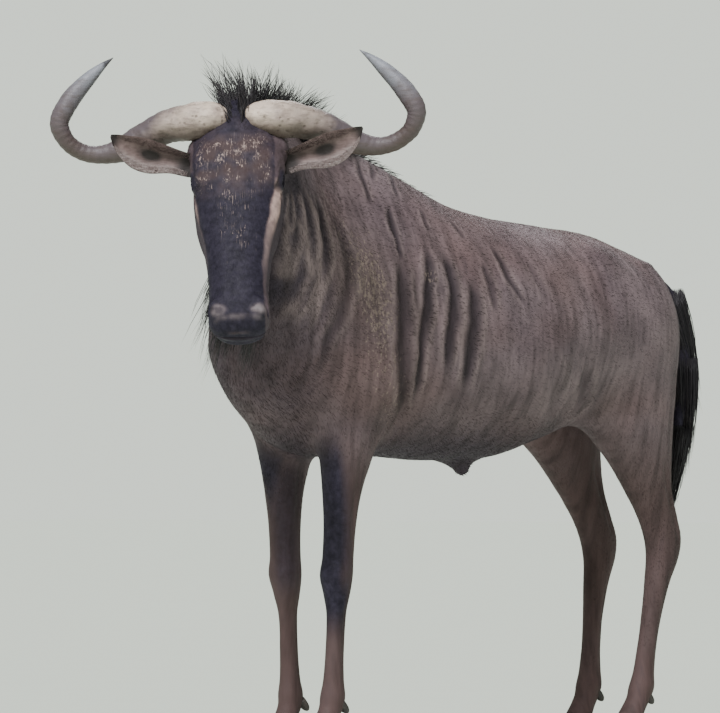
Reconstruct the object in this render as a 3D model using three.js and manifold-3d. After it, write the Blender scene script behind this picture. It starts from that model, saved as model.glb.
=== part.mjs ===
// A blue wildebeest bull, life size, standing still with its head turned a little to its left.
// Millimetres: +Z is up, +X is the way the trunk faces, +Y is the animal's left side. The origin is on the
// ground, under the middle of the animal as seen from above.

import * as THREE from "three";
import Module from "manifold-3d";
import { mergeVertices } from "three/addons/utils/BufferGeometryUtils.js";

const wasm = await Module();
wasm.setup();

// Driving sizes.
const GAP = 0.3; // between two nodes that touch
const HEAD_YAW = 41; // degrees, the face turned from the trunk towards the animal's left
const HEAD_PITCH = 60; // degrees, the face's long axis below the level
const HEAD_ROLL = 1.8; // degrees, the left side of the head higher
const POLL = [385, 135, 1366]; // the top of the head between the ears
const NECK_BASE = [70, 0, 1085];
const NECK_END = [362, 120, 1321];
const EYE_RADIUS = 18;
const EYE_AT = [161, 79, 34]; // along the head, out from its middle, up from its axis
const CORONET = 62; // height of the hoof's top edge
const LEG_TOP = 860; // a stepping leg leans from this height down
const LEGS = {
  foreleg_left: { rows: "fore", track: 104, step: 62, toe: 92 },
  foreleg_right: { rows: "fore", track: -100, step: -36, toe: 92 },
  hindleg_left: { rows: "hind", track: 118, step: 95, toe: -946 },
  hindleg_right: { rows: "hind", track: -118, step: -10, toe: -946 },
};
const HORN_STEPS = 20;
const EAR_STEPS = 11;
const SIDES = { left: 1, right: -1 };

// Each body row is: along, side, low, widest level, high, half width, power above, power below. The powers
// square the section off: 2 is an ellipse, more is boxier, less is keeled.
const TORSO = [
  [-1150, 0, 895, 935, 985, 16, 2, 2],
  [-1132, 0, 862, 940, 1030, 64, 2, 2],
  [-1085, 0, 832, 952, 1070, 120, 2, 2],
  [-1010, 0, 805, 962, 1113, 172, 2, 2],
  [-920, 0, 775, 968, 1150, 208, 2, 2],
  [-820, 0, 734, 965, 1173, 232, 2.1, 2],
  [-690, 0, 690, 940, 1184, 248, 2.1, 2],
  [-520, 0, 648, 915, 1200, 260, 2.1, 2.1],
  [-370, 0, 642, 900, 1228, 252, 2, 2.1],
  [-230, 0, 650, 895, 1285, 236, 1.8, 2],
  [-90, 0, 652, 890, 1338, 216, 1.6, 1.9],
  [10, 0, 650, 885, 1325, 202, 1.6, 1.8],
  [100, 0, 668, 890, 1268, 185, 1.8, 1.65],
  [170, 0, 724, 895, 1175, 160, 2, 1.65],
  [222, 0, 792, 905, 1062, 110, 2, 1.8],
  [248, 0, 862, 905, 955, 40, 2, 2],
];
const NECK = [
  [-110, 0, -190, 0, 225, 92, 2, 2],
  [-30, 0, -262, -45, 282, 142, 1.7, 2],
  [30, 0, -245, -48, 290, 150, 1.6, 2],
  [100, 0, -204, -35, 262, 140, 1.6, 2],
  [180, 0, -162, -15, 222, 128, 1.7, 2],
  [255, 0, -128, 0, 188, 112, 1.8, 2],
  [325, 0, -106, 8, 154, 101, 2, 2],
  [390, 0, -90, 12, 120, 92, 2, 2],
  [445, 0, -72, 14, 90, 76, 2, 2],
  [490, 0, -30, 14, 55, 45, 2, 2],
];
const SKULL = [
  [-58, 0, -56, -19, 14, 39, 2, 2],
  [-23, 0, -98, -23, 47, 74, 2, 2],
  [37, 0, -122, -14, 68, 93, 2.2, 2],
  [94, 0, -122, 5, 79, 100, 2.4, 2],
  [152, 0, -112, 17, 80, 98, 2.4, 2],
  [205, 0, -95, 8, 75, 97, 2.1, 2],
  [262, 0, -74, 6, 70, 87, 2.2, 2.1],
  [320, 0, -56, 5, 66, 75, 2.3, 2.2],
  [377, 0, -44, 4, 62, 68, 2.4, 2.3],
  [424, 0, -38, 2, 57, 65, 2.4, 2.4],
  [468, 0, -37, 0, 52, 67, 2.4, 2.6],
  [499, 0, -37, -2, 43, 66, 2.4, 2.6],
  [518, 0, -32, -4, 26, 54, 2.2, 2.4],
  [528, 0, -20, -5, 9, 29, 2, 2],
];
const JAW = [
  [47, 0, -131, -103, -65, 42, 2, 2],
  [80, 0, -157, -105, -56, 62, 2, 2],
  [122, 0, -161, -101, -47, 70, 2, 2.2],
  [168, 0, -146, -94, -37, 68, 2, 2.2],
  [220, 0, -122, -80, -28, 62, 2, 2],
  [281, 0, -98, -65, -19, 57, 2, 2],
  [340, 0, -84, -54, -10, 55, 2.2, 2],
  [398, 0, -77, -47, -8, 57, 2.4, 2.2],
  [456, 0, -76, -45, -8, 60, 2.4, 2.4],
  [486, 0, -73, -43, -8, 57, 2.4, 2.4],
  [504, 0, -68, -41, -12, 49, 2.2, 2.2],
  [518, 0, -56, -36, -18, 31, 2, 2],
];
// Each leg row is: height, side, back, widest, front, half width, power in front, power behind.
const FORELEG = [
  [CORONET, 0, -4, 30, 60, 33, 2, 2],
  [84, 0, -16, 16, 46, 28, 2, 2],
  [108, 0, -30, 4, 33, 27, 2, 2],
  [132, 0, -33, 0, 30, 29, 2, 2],
  [165, 0, -27, 0, 25, 25, 2, 2],
  [230, 0, -24, 0, 23, 22, 2, 2],
  [310, 0, -25, 2, 25, 23, 2, 2],
  [355, 0, -30, 5, 34, 31, 2, 2.2],
  [395, 0, -33, 8, 42, 37, 2.2, 2.2],
  [435, 0, -34, 8, 40, 35, 2, 2.2],
  [500, 0, -38, 6, 42, 36, 2, 2],
  [570, 0, -46, 4, 48, 42, 2, 2],
  [640, 0, -70, 0, 60, 50, 2, 2],
  [700, 0, -95, 0, 76, 56, 2, 2],
  [780, 0, -115, 8, 103, 62, 2, 2],
  [870, 0, -110, 30, 128, 66, 2, 2],
  [980, 0, -105, 20, 115, 62, 2, 2],
  [1080, 0, -95, 0, 80, 45, 2, 2],
  [1150, 0, -70, -20, 40, 22, 2, 2],
];
const HINDLEG = [
  [CORONET, 0, -1042, -1008, -978, 35, 2, 2],
  [84, 0, -1056, -1022, -992, 30, 2, 2],
  [108, 0, -1072, -1036, -1006, 29, 2, 2],
  [132, 0, -1080, -1044, -1012, 31, 2, 2],
  [165, 0, -1078, -1050, -1020, 26, 2, 2],
  [230, 0, -1080, -1056, -1030, 24, 2, 2],
  [310, 0, -1092, -1064, -1037, 26, 2, 2],
  [370, 0, -1108, -1074, -1040, 30, 2, 2],
  [425, 0, -1134, -1086, -1040, 35, 2, 1.8],
  [470, 0, -1142, -1082, -1026, 35, 2, 1.7],
  [520, 0, -1120, -1056, -998, 38, 2, 1.8],
  [580, 0, -1090, -1018, -950, 45, 2, 2],
  [650, 0, -1078, -975, -885, 58, 2, 2],
  [720, 0, -1072, -935, -800, 71, 2, 2],
  [800, 0, -1068, -908, -738, 81, 2, 2],
  [890, 0, -1062, -905, -725, 86, 2, 2],
  [980, 0, -1040, -915, -770, 76, 2, 2],
  [1050, 0, -1000, -925, -850, 46, 2, 2],
  [1085, 0, -980, -940, -900, 20, 2, 2],
];
// Each horn row is: out from the face's middle, up from the poll, forward of the poll, radius.
const HORN = [
  [20, 21, 44, 23],
  [44, 17, 46, 37],
  [86, 12, 44, 43],
  [130, 8, 32, 40],
  [174, -5, 14, 36],
  [214, -22, 0, 32],
  [250, -41, -8, 28],
  [285, -50, -12, 23],
  [316, -50, -12, 20.5],
  [346, -40, -10, 20],
  [370, -21, -6, 20],
  [383, 4, -2, 21.5],
  [385, 24, 0, 22.5],
  [375, 46, 0, 23],
  [353, 78, -4, 21.5],
  [320, 113, -10, 16.5],
  [291, 139, -16, 9],
  [266, 158, -22, 1.5],
];
// Each ear row is: along, middle, half width, cup depth.
const EAR = [
  [-16, 0, 20, 8],
  [0, -2, 25, 13],
  [42, -6, 28, 18],
  [84, -14, 36, 18],
  [120, -16, 36, 14],
  [150, -14, 27, 9],
  [174, -8, 15, 5],
  [188, -2, 4, 1],
];
// Each step of a lock is: share of its length, share of its half breadth, and of its half depth.
const LOCK = [
  [0, 1, 0.42],
  [0.4, 0.95, 0.38],
  [0.75, 0.6, 0.26],
  [1, 0.05, 0.03],
];
// Each length row is: share of the line, length, then the mane's slant back or the beard's distance out.
const MANE = {
  stations: 17,
  breadth: 44,
  sink: 26,
  spread: 9,
  lean: 0.2,
  sweep: 0.28, // of its length, that a lock at the front falls over to the right
  sweptTo: 0.42,
  lengths: [
    [0, 88, 0.1],
    [0.12, 128, 0.25],
    [0.28, 130, 0.7],
    [0.5, 112, 1.25],
    [0.7, 96, 1.5],
    [0.85, 74, 1.6],
    [1, 48, 1.6],
  ],
};
const BEARD = {
  stations: 11,
  breadth: 38,
  sink: 24,
  lean: 0.05,
  drift: -0.17,
  inset: 20,
  lengths: [
    [0, 130, 12],
    [0.15, 205, 16],
    [0.35, 235, 16],
    [0.55, 225, 20],
    [0.75, 185, 20],
    [1, 110, 12],
  ],
};
const TASSEL = { rings: 4, around: 4, breadth: 54, sink: 8, length: 250, from: 0.2, to: 0.84 };
// Each swelling of the head, and the lids' opening, is a centre and three half lengths, on the left side.
const HEAD_SWELLINGS = [
  [[128, 58, 30], [70, 42, 42]],
  [[161, 80, 33], [28, 21, 21]],
  [[122, 56, -80], [66, 25, 49]],
  [[66, 86, 8], [32, 30, 34]],
  [[480, 42, 24], [24, 21, 25]],
];
const LID_OPENING = [[163, 101, 47], [17, 14, 10]];
// Each mouth row is: along the head, side, lower edge, middle and upper edge of the gap, half its length
// across, and the two powers.
const LIPS = {
  depth: 5,
  rows: [
    [385, 0, -38.5, -37, -35.5, 120, 2, 2],
    [430, 0, -38.5, -37, -35.5, 120, 2, 2],
    [480, 0, -25, -23.5, -22, 120, 2, 2],
    [545, 0, -7.5, -6, -4.5, 120, 2, 2],
  ],
};
// Each nostril row is: along the head, out to the side, up from the head's middle, radius.
const NOSTRIL = [
  [453, 44, 44, 3],
  [461, 58, 33, 7.5],
  [476, 62, 26, 7],
  [490, 60, 18, 4],
];
const TAIL = [
  [-1080, 0, 1020, 28],
  [-1130, 4, 1050, 28],
  [-1178, 12, 1034, 30],
  [-1208, 21, 972, 31],
  [-1212, 32, 892, 31],
  [-1200, 40, 812, 30],
  [-1180, 44, 745, 27],
  [-1152, 46, 680, 23],
  [-1130, 46, 612, 17],
  [-1114, 45, 552, 11],
  [-1098, 43, 495, 4],
];

const vector = (p) => new THREE.Vector3(...p);
const radians = THREE.MathUtils.degToRad;

// A frame has an origin and three directions: along the piece, out to its side, and up from it.
function frame(origin, along, rise) {
  const a = along.clone().normalize();
  const side = new THREE.Vector3().crossVectors(rise, a).normalize();
  return { origin, along: a, side, rise: new THREE.Vector3().crossVectors(a, side) };
}

function place(at, u, v, w) {
  return at.origin
    .clone()
    .addScaledVector(at.along, u)
    .addScaledVector(at.side, v)
    .addScaledVector(at.rise, w);
}

// The row at a station, on a smooth cubic through the rows.
function rowAt(rows, station) {
  let i = 0;
  while (i < rows.length - 2 && station > rows[i + 1][0]) i++;
  const a = rows[i];
  const b = rows[i + 1];
  const before = rows[Math.max(i - 1, 0)];
  const after = rows[Math.min(i + 2, rows.length - 1)];
  const span = b[0] - a[0];
  const t = (station - a[0]) / span;
  return a.map((value, k) => {
    const leave = ((b[k] - before[k]) / (b[0] - before[0])) * span;
    const arrive = ((after[k] - value) / (after[0] - a[0])) * span;
    return (
      (2 * t ** 3 - 3 * t ** 2 + 1) * value +
      (t ** 3 - 2 * t ** 2 + t) * leave +
      (3 * t ** 2 - 2 * t ** 3) * b[k] +
      (t ** 3 - t ** 2) * arrive
    );
  });
}

// A closed skin through rings of points, with each end drawn to its middle.
function ringSkin(rings) {
  const sides = rings[0].length;
  const points = rings.flat();
  for (const end of [rings[0], rings.at(-1)]) {
    const middle = new THREE.Vector3();
    end.forEach((p) => middle.addScaledVector(p, 1 / sides));
    points.push(middle);
  }
  const faces = [];
  const [tail, tip] = [points.length - 2, points.length - 1];
  const lastRing = (rings.length - 1) * sides;
  for (let j = 0; j < sides; j++) {
    const k = (j + 1) % sides;
    for (let i = 0; i < rings.length - 1; i++) {
      const [near, far] = [i * sides, (i + 1) * sides];
      faces.push(near + j, near + k, far + k, near + j, far + k, far + j);
    }
    faces.push(tail, k, j, tip, lastRing + j, lastRing + k);
  }
  const geometry = new THREE.BufferGeometry().setFromPoints(points);
  return geometry.setIndex(faces);
}

// A body lofted through its rows: each section is a superellipse with its own upper and lower half.
function loft(at, rows, perRow, sides, grow = 0) {
  const rings = [];
  const count = (rows.length - 1) * perRow;
  for (let i = 0; i <= count; i++) {
    const k = Math.min(Math.floor(i / perRow), rows.length - 2);
    const share = i / perRow - k;
    const station = rows[k][0] * (1 - share) + rows[k + 1][0] * share;
    const [, side, low, wide, high, half, above, below] = rowAt(rows, station);
    const reach = i === 0 ? -grow : i === count ? grow : 0;
    rings.push(
      Array.from({ length: sides }, (_, j) => {
        const turn = (2 * Math.PI * (j + 0.5)) / sides;
        const [c, s] = [Math.cos(turn), Math.sin(turn)];
        const power = 2 / (s > 0 ? above : below);
        const height = (s > 0 ? high - wide : wide - low) + grow;
        return place(
          at,
          station + reach,
          side + (half + grow) * Math.sign(c) * Math.abs(c) ** power,
          wide + height * Math.sign(s) * Math.abs(s) ** power,
        );
      }),
    );
  }
  return ringSkin(rings);
}

// A round or flattened tube through points, each with its radius. Flat squeezes it along `up`.
function tube(points, radii, sides, up, flat = 1) {
  const rings = points.map((p, i) => {
    const ahead = points[Math.min(i + 1, points.length - 1)];
    const behind = points[Math.max(i - 1, 0)];
    const along = new THREE.Vector3().subVectors(ahead, behind).normalize();
    const side = new THREE.Vector3().crossVectors(up, along).normalize();
    const rise = new THREE.Vector3().crossVectors(along, side);
    return Array.from({ length: sides }, (_, j) => {
      const turn = (2 * Math.PI * j) / sides;
      return p
        .clone()
        .addScaledVector(side, radii[i] * Math.cos(turn))
        .addScaledVector(rise, radii[i] * flat * Math.sin(turn));
    });
  });
  return ringSkin(rings);
}

// A closed geometry as a solid, turned to face outwards.
function solid(geometry) {
  const flat = geometry.clone();
  flat.deleteAttribute("normal");
  flat.deleteAttribute("uv");
  const merged = mergeVertices(flat, 1e-3);
  const p = merged.getAttribute("position");
  const faces = Uint32Array.from(merged.index.array);
  const corner = (i) => new THREE.Vector3().fromBufferAttribute(p, faces[i]);
  let volume = 0;
  for (let i = 0; i < faces.length; i += 3) volume += corner(i).dot(corner(i + 1).cross(corner(i + 2)));
  if (volume < 0) faces.reverse();
  return new wasm.Manifold(
    new wasm.Mesh({ numProp: 3, vertProperties: Float32Array.from(p.array), triVerts: faces }),
  );
}

const join = (solids) => solids.reduce((a, b) => a.add(b));
const largest = (made) => made.decompose().reduce((a, b) => (a.volume() > b.volume() ? a : b));

// An ellipsoid with its three half lengths along a frame's own directions.
function ball(at, centre, half, columns = 12, rings = 8) {
  const geometry = new THREE.SphereGeometry(1, columns, rings);
  const turn = new THREE.Matrix4().makeBasis(at.along, at.side, at.rise);
  geometry.scale(...half);
  geometry.applyMatrix4(turn.setPosition(place(at, ...centre)));
  return solid(geometry);
}

// A box with its three half lengths along a frame's own directions.
function block(at, centre, half) {
  const geometry = new THREE.BoxGeometry(2 * half[0], 2 * half[1], 2 * half[2]);
  const turn = new THREE.Matrix4().makeBasis(at.along, at.side, at.rise);
  geometry.applyMatrix4(turn.setPosition(place(at, ...centre)));
  return solid(geometry);
}

// The frames that the pieces are built in.
const UP = vector([0, 0, 1]);
const leftwards = vector([0, 1, 0]);
const WORLD = frame(vector([0, 0, 0]), vector([1, 0, 0]), UP);
const level = vector([Math.cos(radians(HEAD_YAW)), Math.sin(radians(HEAD_YAW)), 0]);
const crown = UP.clone().applyAxisAngle(level, radians(HEAD_ROLL));
const POLL_LEVEL = frame(vector(POLL), level, crown);
const nose = level.clone().applyAxisAngle(POLL_LEVEL.side, radians(HEAD_PITCH));
const HEAD = frame(vector(POLL), nose, crown);
const neckAxis = vector(NECK_END).sub(vector(NECK_BASE)).normalize();
// The neck's sections stand upright over the trunk's middle, so its rise has no sideways part.
const NECK_FRAME = {
  origin: vector(NECK_BASE),
  along: neckAxis,
  side: new THREE.Vector3().crossVectors(UP, neckAxis).normalize(),
  rise: new THREE.Vector3().crossVectors(neckAxis, leftwards).normalize(),
};
const legFrame = (side) => ({
  origin: vector([0, side, 0]),
  along: UP,
  side: vector([0, 1, 0]),
  rise: vector([1, 0, 0]),
});

// The whole animal's flesh, before it is parted.
const mirrored = (at, out) => [at[0], out * at[1], at[2]];

function headFlesh(grow = 0) {
  const pieces = [solid(loft(HEAD, SKULL, 2, 22, grow)), solid(loft(HEAD, JAW, 1, 18, grow))];
  for (const out of Object.values(SIDES)) {
    for (const [centre, half] of HEAD_SWELLINGS) {
      pieces.push(ball(HEAD, mirrored(centre, out), half.map((value) => value + grow), 9, 6));
    }
  }
  return join(pieces);
}

// The openings of the lids, the nostrils and the mouth line.
function headOpenings() {
  const lips = solid(loft(HEAD, LIPS.rows, 1, 6));
  const openings = [lips.subtract(headFlesh(-LIPS.depth))];
  for (const out of Object.values(SIDES)) {
    const [centre, half] = LID_OPENING;
    openings.push(ball(HEAD, mirrored(centre, out), half, 7, 5));
    const nostril = NOSTRIL.map(([u, v, w]) => place(HEAD, u, out * v, w));
    openings.push(solid(tube(nostril, NOSTRIL.map((row) => row[3]), 5, HEAD.side)));
  }
  return join(openings);
}

// How far forward a stepping leg stands at a height.
const lean = (step, height) => step * Math.max(0, 1 - height / LEG_TOP);

function legFlesh(leg) {
  const rows = (leg.rows === "fore" ? FORELEG : HINDLEG).map((row) => {
    const ahead = lean(leg.step, row[0]);
    return row.map((value, k) => (k > 1 && k < 5 ? value + ahead : value));
  });
  return solid(loft(legFrame(leg.track), rows, 1, 14));
}

const neckFlesh = solid(loft(NECK_FRAME, NECK, 2, 20));
const torsoFlesh = solid(loft(WORLD, TORSO, 2, 20));

function dewclaws(leg) {
  const back = leg.toe - 122 + lean(leg.step, CORONET);
  return [-1, 1].map((out) => {
    const root = vector([back + 14, leg.track + out * 13, 118]);
    const tip = vector([back - 8, leg.track + out * 15, 96]);
    return solid(tube([root, tip], [11, 5], 6, vector([0, 1, 0])));
  });
}

const sheath = solid(
  tube([vector([-470, 0, 670]), vector([-484, 0, 632]), vector([-490, 0, 610])], [52, 22, 5], 10, leftwards),
);

// The line of the neck's and the back's crest, from the poll to behind the withers.
const neckHigh = (u) => place(NECK_FRAME, u, 0, rowAt(NECK, u)[4] - 6);
const backHigh = (x) => vector([x, 0, rowAt(TORSO, x)[4] - 6]);
const crest = new THREE.CatmullRomCurve3([
  place(HEAD, 18, 0, 60),
  place(HEAD, -20, 0, 40),
  ...[400, 325, 255, 180, 100, 40].map(neckHigh),
  ...[-90, -180, -270, -360].map(backHigh),
]);
const throat = new THREE.CatmullRomCurve3([
  place(HEAD, 380, 0, -70),
  place(HEAD, 250, 0, -100),
  place(HEAD, 130, 0, -150),
  ...[330, 240, 150, 60].map((u) => place(NECK_FRAME, u, 0, rowAt(NECK, u)[2] + 8)),
]);

// A repeatable stream of numbers from 0 to 1, so every build gives the same locks.
let seed = 20;
function chance(low = 0, high = 1) {
  seed = (seed * 1664525 + 1013904223) % 4294967296;
  return low + ((high - low) * seed) / 4294967296;
}

// A flat lock that tapers from its sunk root to a point and bends on the way. `flat` is across its breadth.
function lock(root, out, flat, length, breadth, bend) {
  const along = out.clone().normalize();
  const wide = flat.clone().addScaledVector(along, -flat.dot(along)).normalize();
  const thin = new THREE.Vector3().crossVectors(along, wide);
  const rings = LOCK.map(([t, breadthShare, depthShare]) => {
    const middle = root
      .clone()
      .addScaledVector(along, t * length)
      .addScaledVector(bend, t > 0 ? t * t : 0);
    const [a, b] = [(breadth / 2) * breadthShare, (breadth / 2) * depthShare];
    return [[1, 0], [0, 1], [-1, 0], [0, -1]].map(([i, j]) =>
      middle.clone().addScaledVector(wide, a * i).addScaledVector(thin, b * j),
    );
  });
  return solid(ringSkin(rings));
}

// The mane stands up at the poll in two rows and lies ever further back towards the withers.
function maneLocks() {
  const locks = [];
  for (let i = 0; i < MANE.stations; i++) {
    const t = (i + 0.5) / MANE.stations;
    const along = crest.getTangent(t);
    const across = new THREE.Vector3().crossVectors(UP, along).normalize();
    const [, length, slant] = rowAt(MANE.lengths, t);
    for (const side of [-1, 1]) {
      const root = crest.getPoint(Math.min(1, t + chance(-0.012, 0.012)));
      root.addScaledVector(across, side * MANE.spread).addScaledVector(UP, -MANE.sink);
      const swept = Math.max(0, 1 - t / MANE.sweptTo);
      const out = UP.clone()
        .addScaledVector(along, slant + chance(-0.15, 0.2))
        .addScaledVector(across, side * MANE.lean + chance(-0.18, 0.18));
      const bend = along.clone().multiplyScalar(length * chance(0.1, 0.3) * (1 - swept));
      bend.addScaledVector(across, side * length * chance(0.05, 0.3) * (1 - swept));
      bend.addScaledVector(UP, -0.1 * length);
      bend.addScaledVector(POLL_LEVEL.side, -MANE.sweep * length * swept);
      const reach = length * chance(0.8, 1.12) + MANE.sink;
      locks.push(lock(root, out, along, reach, MANE.breadth * chance(0.85, 1.15), bend));
    }
  }
  return join(locks);
}

// The beard hangs in two rows from the chin, the throat and the front of the neck, and drifts to the right.
function beardLocks() {
  const locks = [];
  for (let i = 0; i < BEARD.stations; i++) {
    const t = (i + 0.5) / BEARD.stations;
    const along = throat.getTangent(t);
    const across = new THREE.Vector3().crossVectors(along, UP).normalize();
    const [, length, distance] = rowAt(BEARD.lengths, t);
    for (const side of [-1, 1]) {
      const root = throat.getPoint(Math.min(1, Math.max(0, t + chance(-0.01, 0.01))));
      const raise = BEARD.sink + 0.5 * Math.max(0, distance - BEARD.inset);
      root.addScaledVector(across, side * distance).addScaledVector(UP, raise);
      const out = UP.clone()
        .multiplyScalar(-1)
        .addScaledVector(across, side * BEARD.lean + chance(-0.12, 0.12))
        .addScaledVector(level, chance(-0.12, 0.12));
      const bend = POLL_LEVEL.side.clone().multiplyScalar(length * (BEARD.drift + chance(-0.1, 0.1)));
      bend.addScaledVector(level, length * chance(-0.2, 0.05));
      const reach = length * chance(0.75, 1.12) + raise;
      locks.push(lock(root, out, along, reach, BEARD.breadth * chance(0.85, 1.15), bend));
    }
  }
  return join(locks);
}

// The tail's hair hangs round its dock in overlapping rings.
function tailLocks() {
  const locks = [];
  const fine = 100;
  const dock = spread(TAIL, fine);
  for (let i = 0; i < TASSEL.rings; i++) {
    const t = i / (TASSEL.rings - 1);
    const step = Math.round(fine * (TASSEL.from + (TASSEL.to - TASSEL.from) * t));
    const [x, y, z, radius] = dock[step];
    const down = vector(dock[step + 1].slice(0, 3)).sub(vector([x, y, z])).normalize();
    down.addScaledVector(UP, -1).normalize();
    for (let k = 0; k < TASSEL.around; k++) {
      const turn = (2 * Math.PI * (k + 0.5 * (i % 2) + chance(-0.15, 0.15))) / TASSEL.around;
      const away = vector([Math.cos(turn), Math.sin(turn), 0]);
      away.addScaledVector(down, -away.dot(down)).normalize();
      const root = vector([x, y, z]).addScaledVector(away, radius - TASSEL.sink);
      const length = TASSEL.length * (1 - 0.3 * t) * chance(0.85, 1.15);
      const out = down.clone().addScaledVector(away, 0.02 + chance(-0.03, 0.04));
      const flat = new THREE.Vector3().crossVectors(down, away);
      const bend = UP.clone().multiplyScalar(-0.1 * length).addScaledVector(away, -0.14 * length);
      locks.push(lock(root, out, flat, length, TASSEL.breadth * chance(0.85, 1.15), bend));
    }
  }
  return join(locks);
}

const bothHorns = join([horn(1, GAP), horn(-1, GAP)]);
const mane = maneLocks().subtract(bothHorns);
const beard = beardLocks();

const flesh = join([
  torsoFlesh,
  neckFlesh,
  sheath,
  mane,
  beard,
  headFlesh(),
  ...Object.values(LEGS).flatMap((leg) => [legFlesh(leg), ...dewclaws(leg)]),
]);

// The regions that the flesh is parted into. Each is grown or shrunk by half the gap.
// A prism has its outline along and up from its frame, and reaches half its depth to each side.
function prism(at, outline, half, grow) {
  const edges = outline.map((corner, i) => {
    const next = outline[(i + 1) % outline.length];
    const away = new THREE.Vector2(next[1] - corner[1], corner[0] - next[0]).normalize();
    return { away, offset: away.dot(new THREE.Vector2(...corner)) + grow };
  });
  const corners = edges.map((edge, i) => {
    const before = edges.at(i - 1);
    const det = before.away.x * edge.away.y - before.away.y * edge.away.x;
    return [
      (before.offset * edge.away.y - edge.offset * before.away.y) / det,
      (before.away.x * edge.offset - edge.away.x * before.offset) / det,
    ];
  });
  const points = [-1, 1].flatMap((end) => corners.map(([u, w]) => place(at, u, end * (half + grow), w)));
  const flat = corners.map((corner) => new THREE.Vector2(...corner));
  const caps = THREE.ShapeUtils.triangulateShape(flat, []);
  const count = corners.length;
  const faces = caps.flatMap(([a, b, c]) => [a, b, c, c + count, b + count, a + count]);
  for (let i = 0; i < count; i++) {
    const k = (i + 1) % count;
    faces.push(i, i + count, k, k, i + count, k + count);
  }
  return solid(new THREE.BufferGeometry().setFromPoints(points).setIndex(faces));
}

function legCell(out, from, to, inner, lift, grow) {
  const at = frame(vector([(from + to) / 2, 0, 0]), vector([0, out, 0]), UP);
  const outline = [
    [inner, -50],
    [480, -50],
    [480, lift + 170],
    [inner + 170, lift + 110],
    [inner, lift],
  ];
  return prism(at, outline, (to - from) / 2, grow);
}

function headCell(grow) {
  const outline = [
    [40, 400],
    [-45, 80],
    [-108, -165],
    [-92, -230],
    [-60, -330],
    [-60, -800],
    [600, -800],
    [600, 400],
  ];
  return prism(POLL_LEVEL, outline, 500, grow);
}

function neckCell(grow) {
  const withers = vector([10, 0, 1340]);
  const forward = vector([410, 0, 240]);
  return block(frame(withers, forward, UP), [600 - grow, 0, 0], [600, 450, 800]);
}

function parted() {
  const parts = {};
  let rest = flesh;
  const take = (name, cell) => {
    parts[name] = largest(rest.intersect(cell(-GAP / 2)));
    rest = rest.subtract(cell(GAP / 2));
  };
  take("head", headCell);
  for (const [side, out] of Object.entries(SIDES)) {
    take(`foreleg_${side}`, (grow) => legCell(out, -135, 150, 40, 636, grow));
    take(`hindleg_${side}`, (grow) => legCell(out, -1290, -740, 30, 672, grow));
  }
  take("neck", neckCell);
  parts.torso = largest(rest);
  return parts;
}

const parts = parted();

// The horns, ears, eyes, hooves and tail.
// Stations spread evenly over rows whose first value is their place in the list.
function spread(rows, steps) {
  const numbered = rows.map((row, i) => [i, ...row]);
  const step = (rows.length - 1) / steps;
  return Array.from({ length: steps + 1 }, (_, i) => rowAt(numbered, step * i).slice(1));
}

function horn(out, grow = 0) {
  const rows = spread(HORN, HORN_STEPS);
  const points = rows.map(([side, up, forward]) => place(POLL_LEVEL, forward, out * side, up));
  return solid(tube(points, rows.map((row) => row[3] + grow), 10, level));
}

function ear(out) {
  const root = place(POLL_LEVEL, 58, out * 97, -84);
  const reach = place(POLL_LEVEL, 84, out * 272, -12).sub(root);
  const at = frame(root, reach, level);
  const rings = [];
  for (let i = 0; i <= EAR_STEPS; i++) {
    const station = EAR[0][0] + ((EAR.at(-1)[0] - EAR[0][0]) * i) / EAR_STEPS;
    const [, middle, half, cup] = rowAt(EAR, station);
    rings.push(
      Array.from({ length: 14 }, (_, j) => {
        const turn = (2 * Math.PI * j) / 14;
        const [c, s] = [Math.cos(turn), Math.sin(turn)];
        const fold = cup * c * c - cup;
        return place(at, station, out * middle + half * c, fold + (s > 0 ? 1.5 : 6) * s);
      }),
    );
  }
  return solid(ringSkin(rings));
}

function hoof(leg, inner) {
  const rings = [0, 0.4, 1].map((t) => {
    const height = t * (CORONET - GAP);
    const length = 114 - 38 * t;
    const half = 21 - 3 * t;
    const heel = leg.toe - 114 + 10 * t + lean(leg.step, CORONET);
    return Array.from({ length: 10 }, (_, j) => {
      const turn = (2 * Math.PI * (j + 0.5)) / 10;
      const forward = (Math.cos(turn) + 1) / 2;
      const narrow = 1 - 0.55 * forward ** 2.5;
      const across = inner * (half + 1.2) + half * narrow * Math.sin(turn);
      return vector([heel + forward * length, leg.track + across, height]);
    });
  });
  return solid(ringSkin(rings));
}

function tailDock() {
  const rows = spread(TAIL, 12);
  const points = rows.map((row) => vector(row.slice(0, 3)));
  return solid(tube(points, rows.map((row) => row[3]), 10, vector([1, 0.2, 0]))).add(tailLocks());
}

const group = new THREE.Group();

function geometryOf(made) {
  const mesh = made.getMesh();
  const geometry = new THREE.BufferGeometry();
  geometry.setAttribute("position", new THREE.BufferAttribute(Float32Array.from(mesh.vertProperties), 3));
  return geometry.setIndex(new THREE.BufferAttribute(Uint32Array.from(mesh.triVerts), 1));
}

// Joining can leave crumbs that hang on by a single point, so the largest surface is taken once more.
function addNode(name, made, colour, roughness = 0.8) {
  const material = new THREE.MeshStandardMaterial({ color: colour, roughness, metalness: 0 });
  const node = new THREE.Mesh(geometryOf(largest(solid(geometryOf(made)))), material);
  node.name = name;
  group.add(node);
}

const HIDE = 0x5a4d4f;
const BLACK_HAIR = 0x14121a;
const HORN_COLOUR = 0x9c9087;
const HOOF_COLOUR = 0x2c2624;

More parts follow.
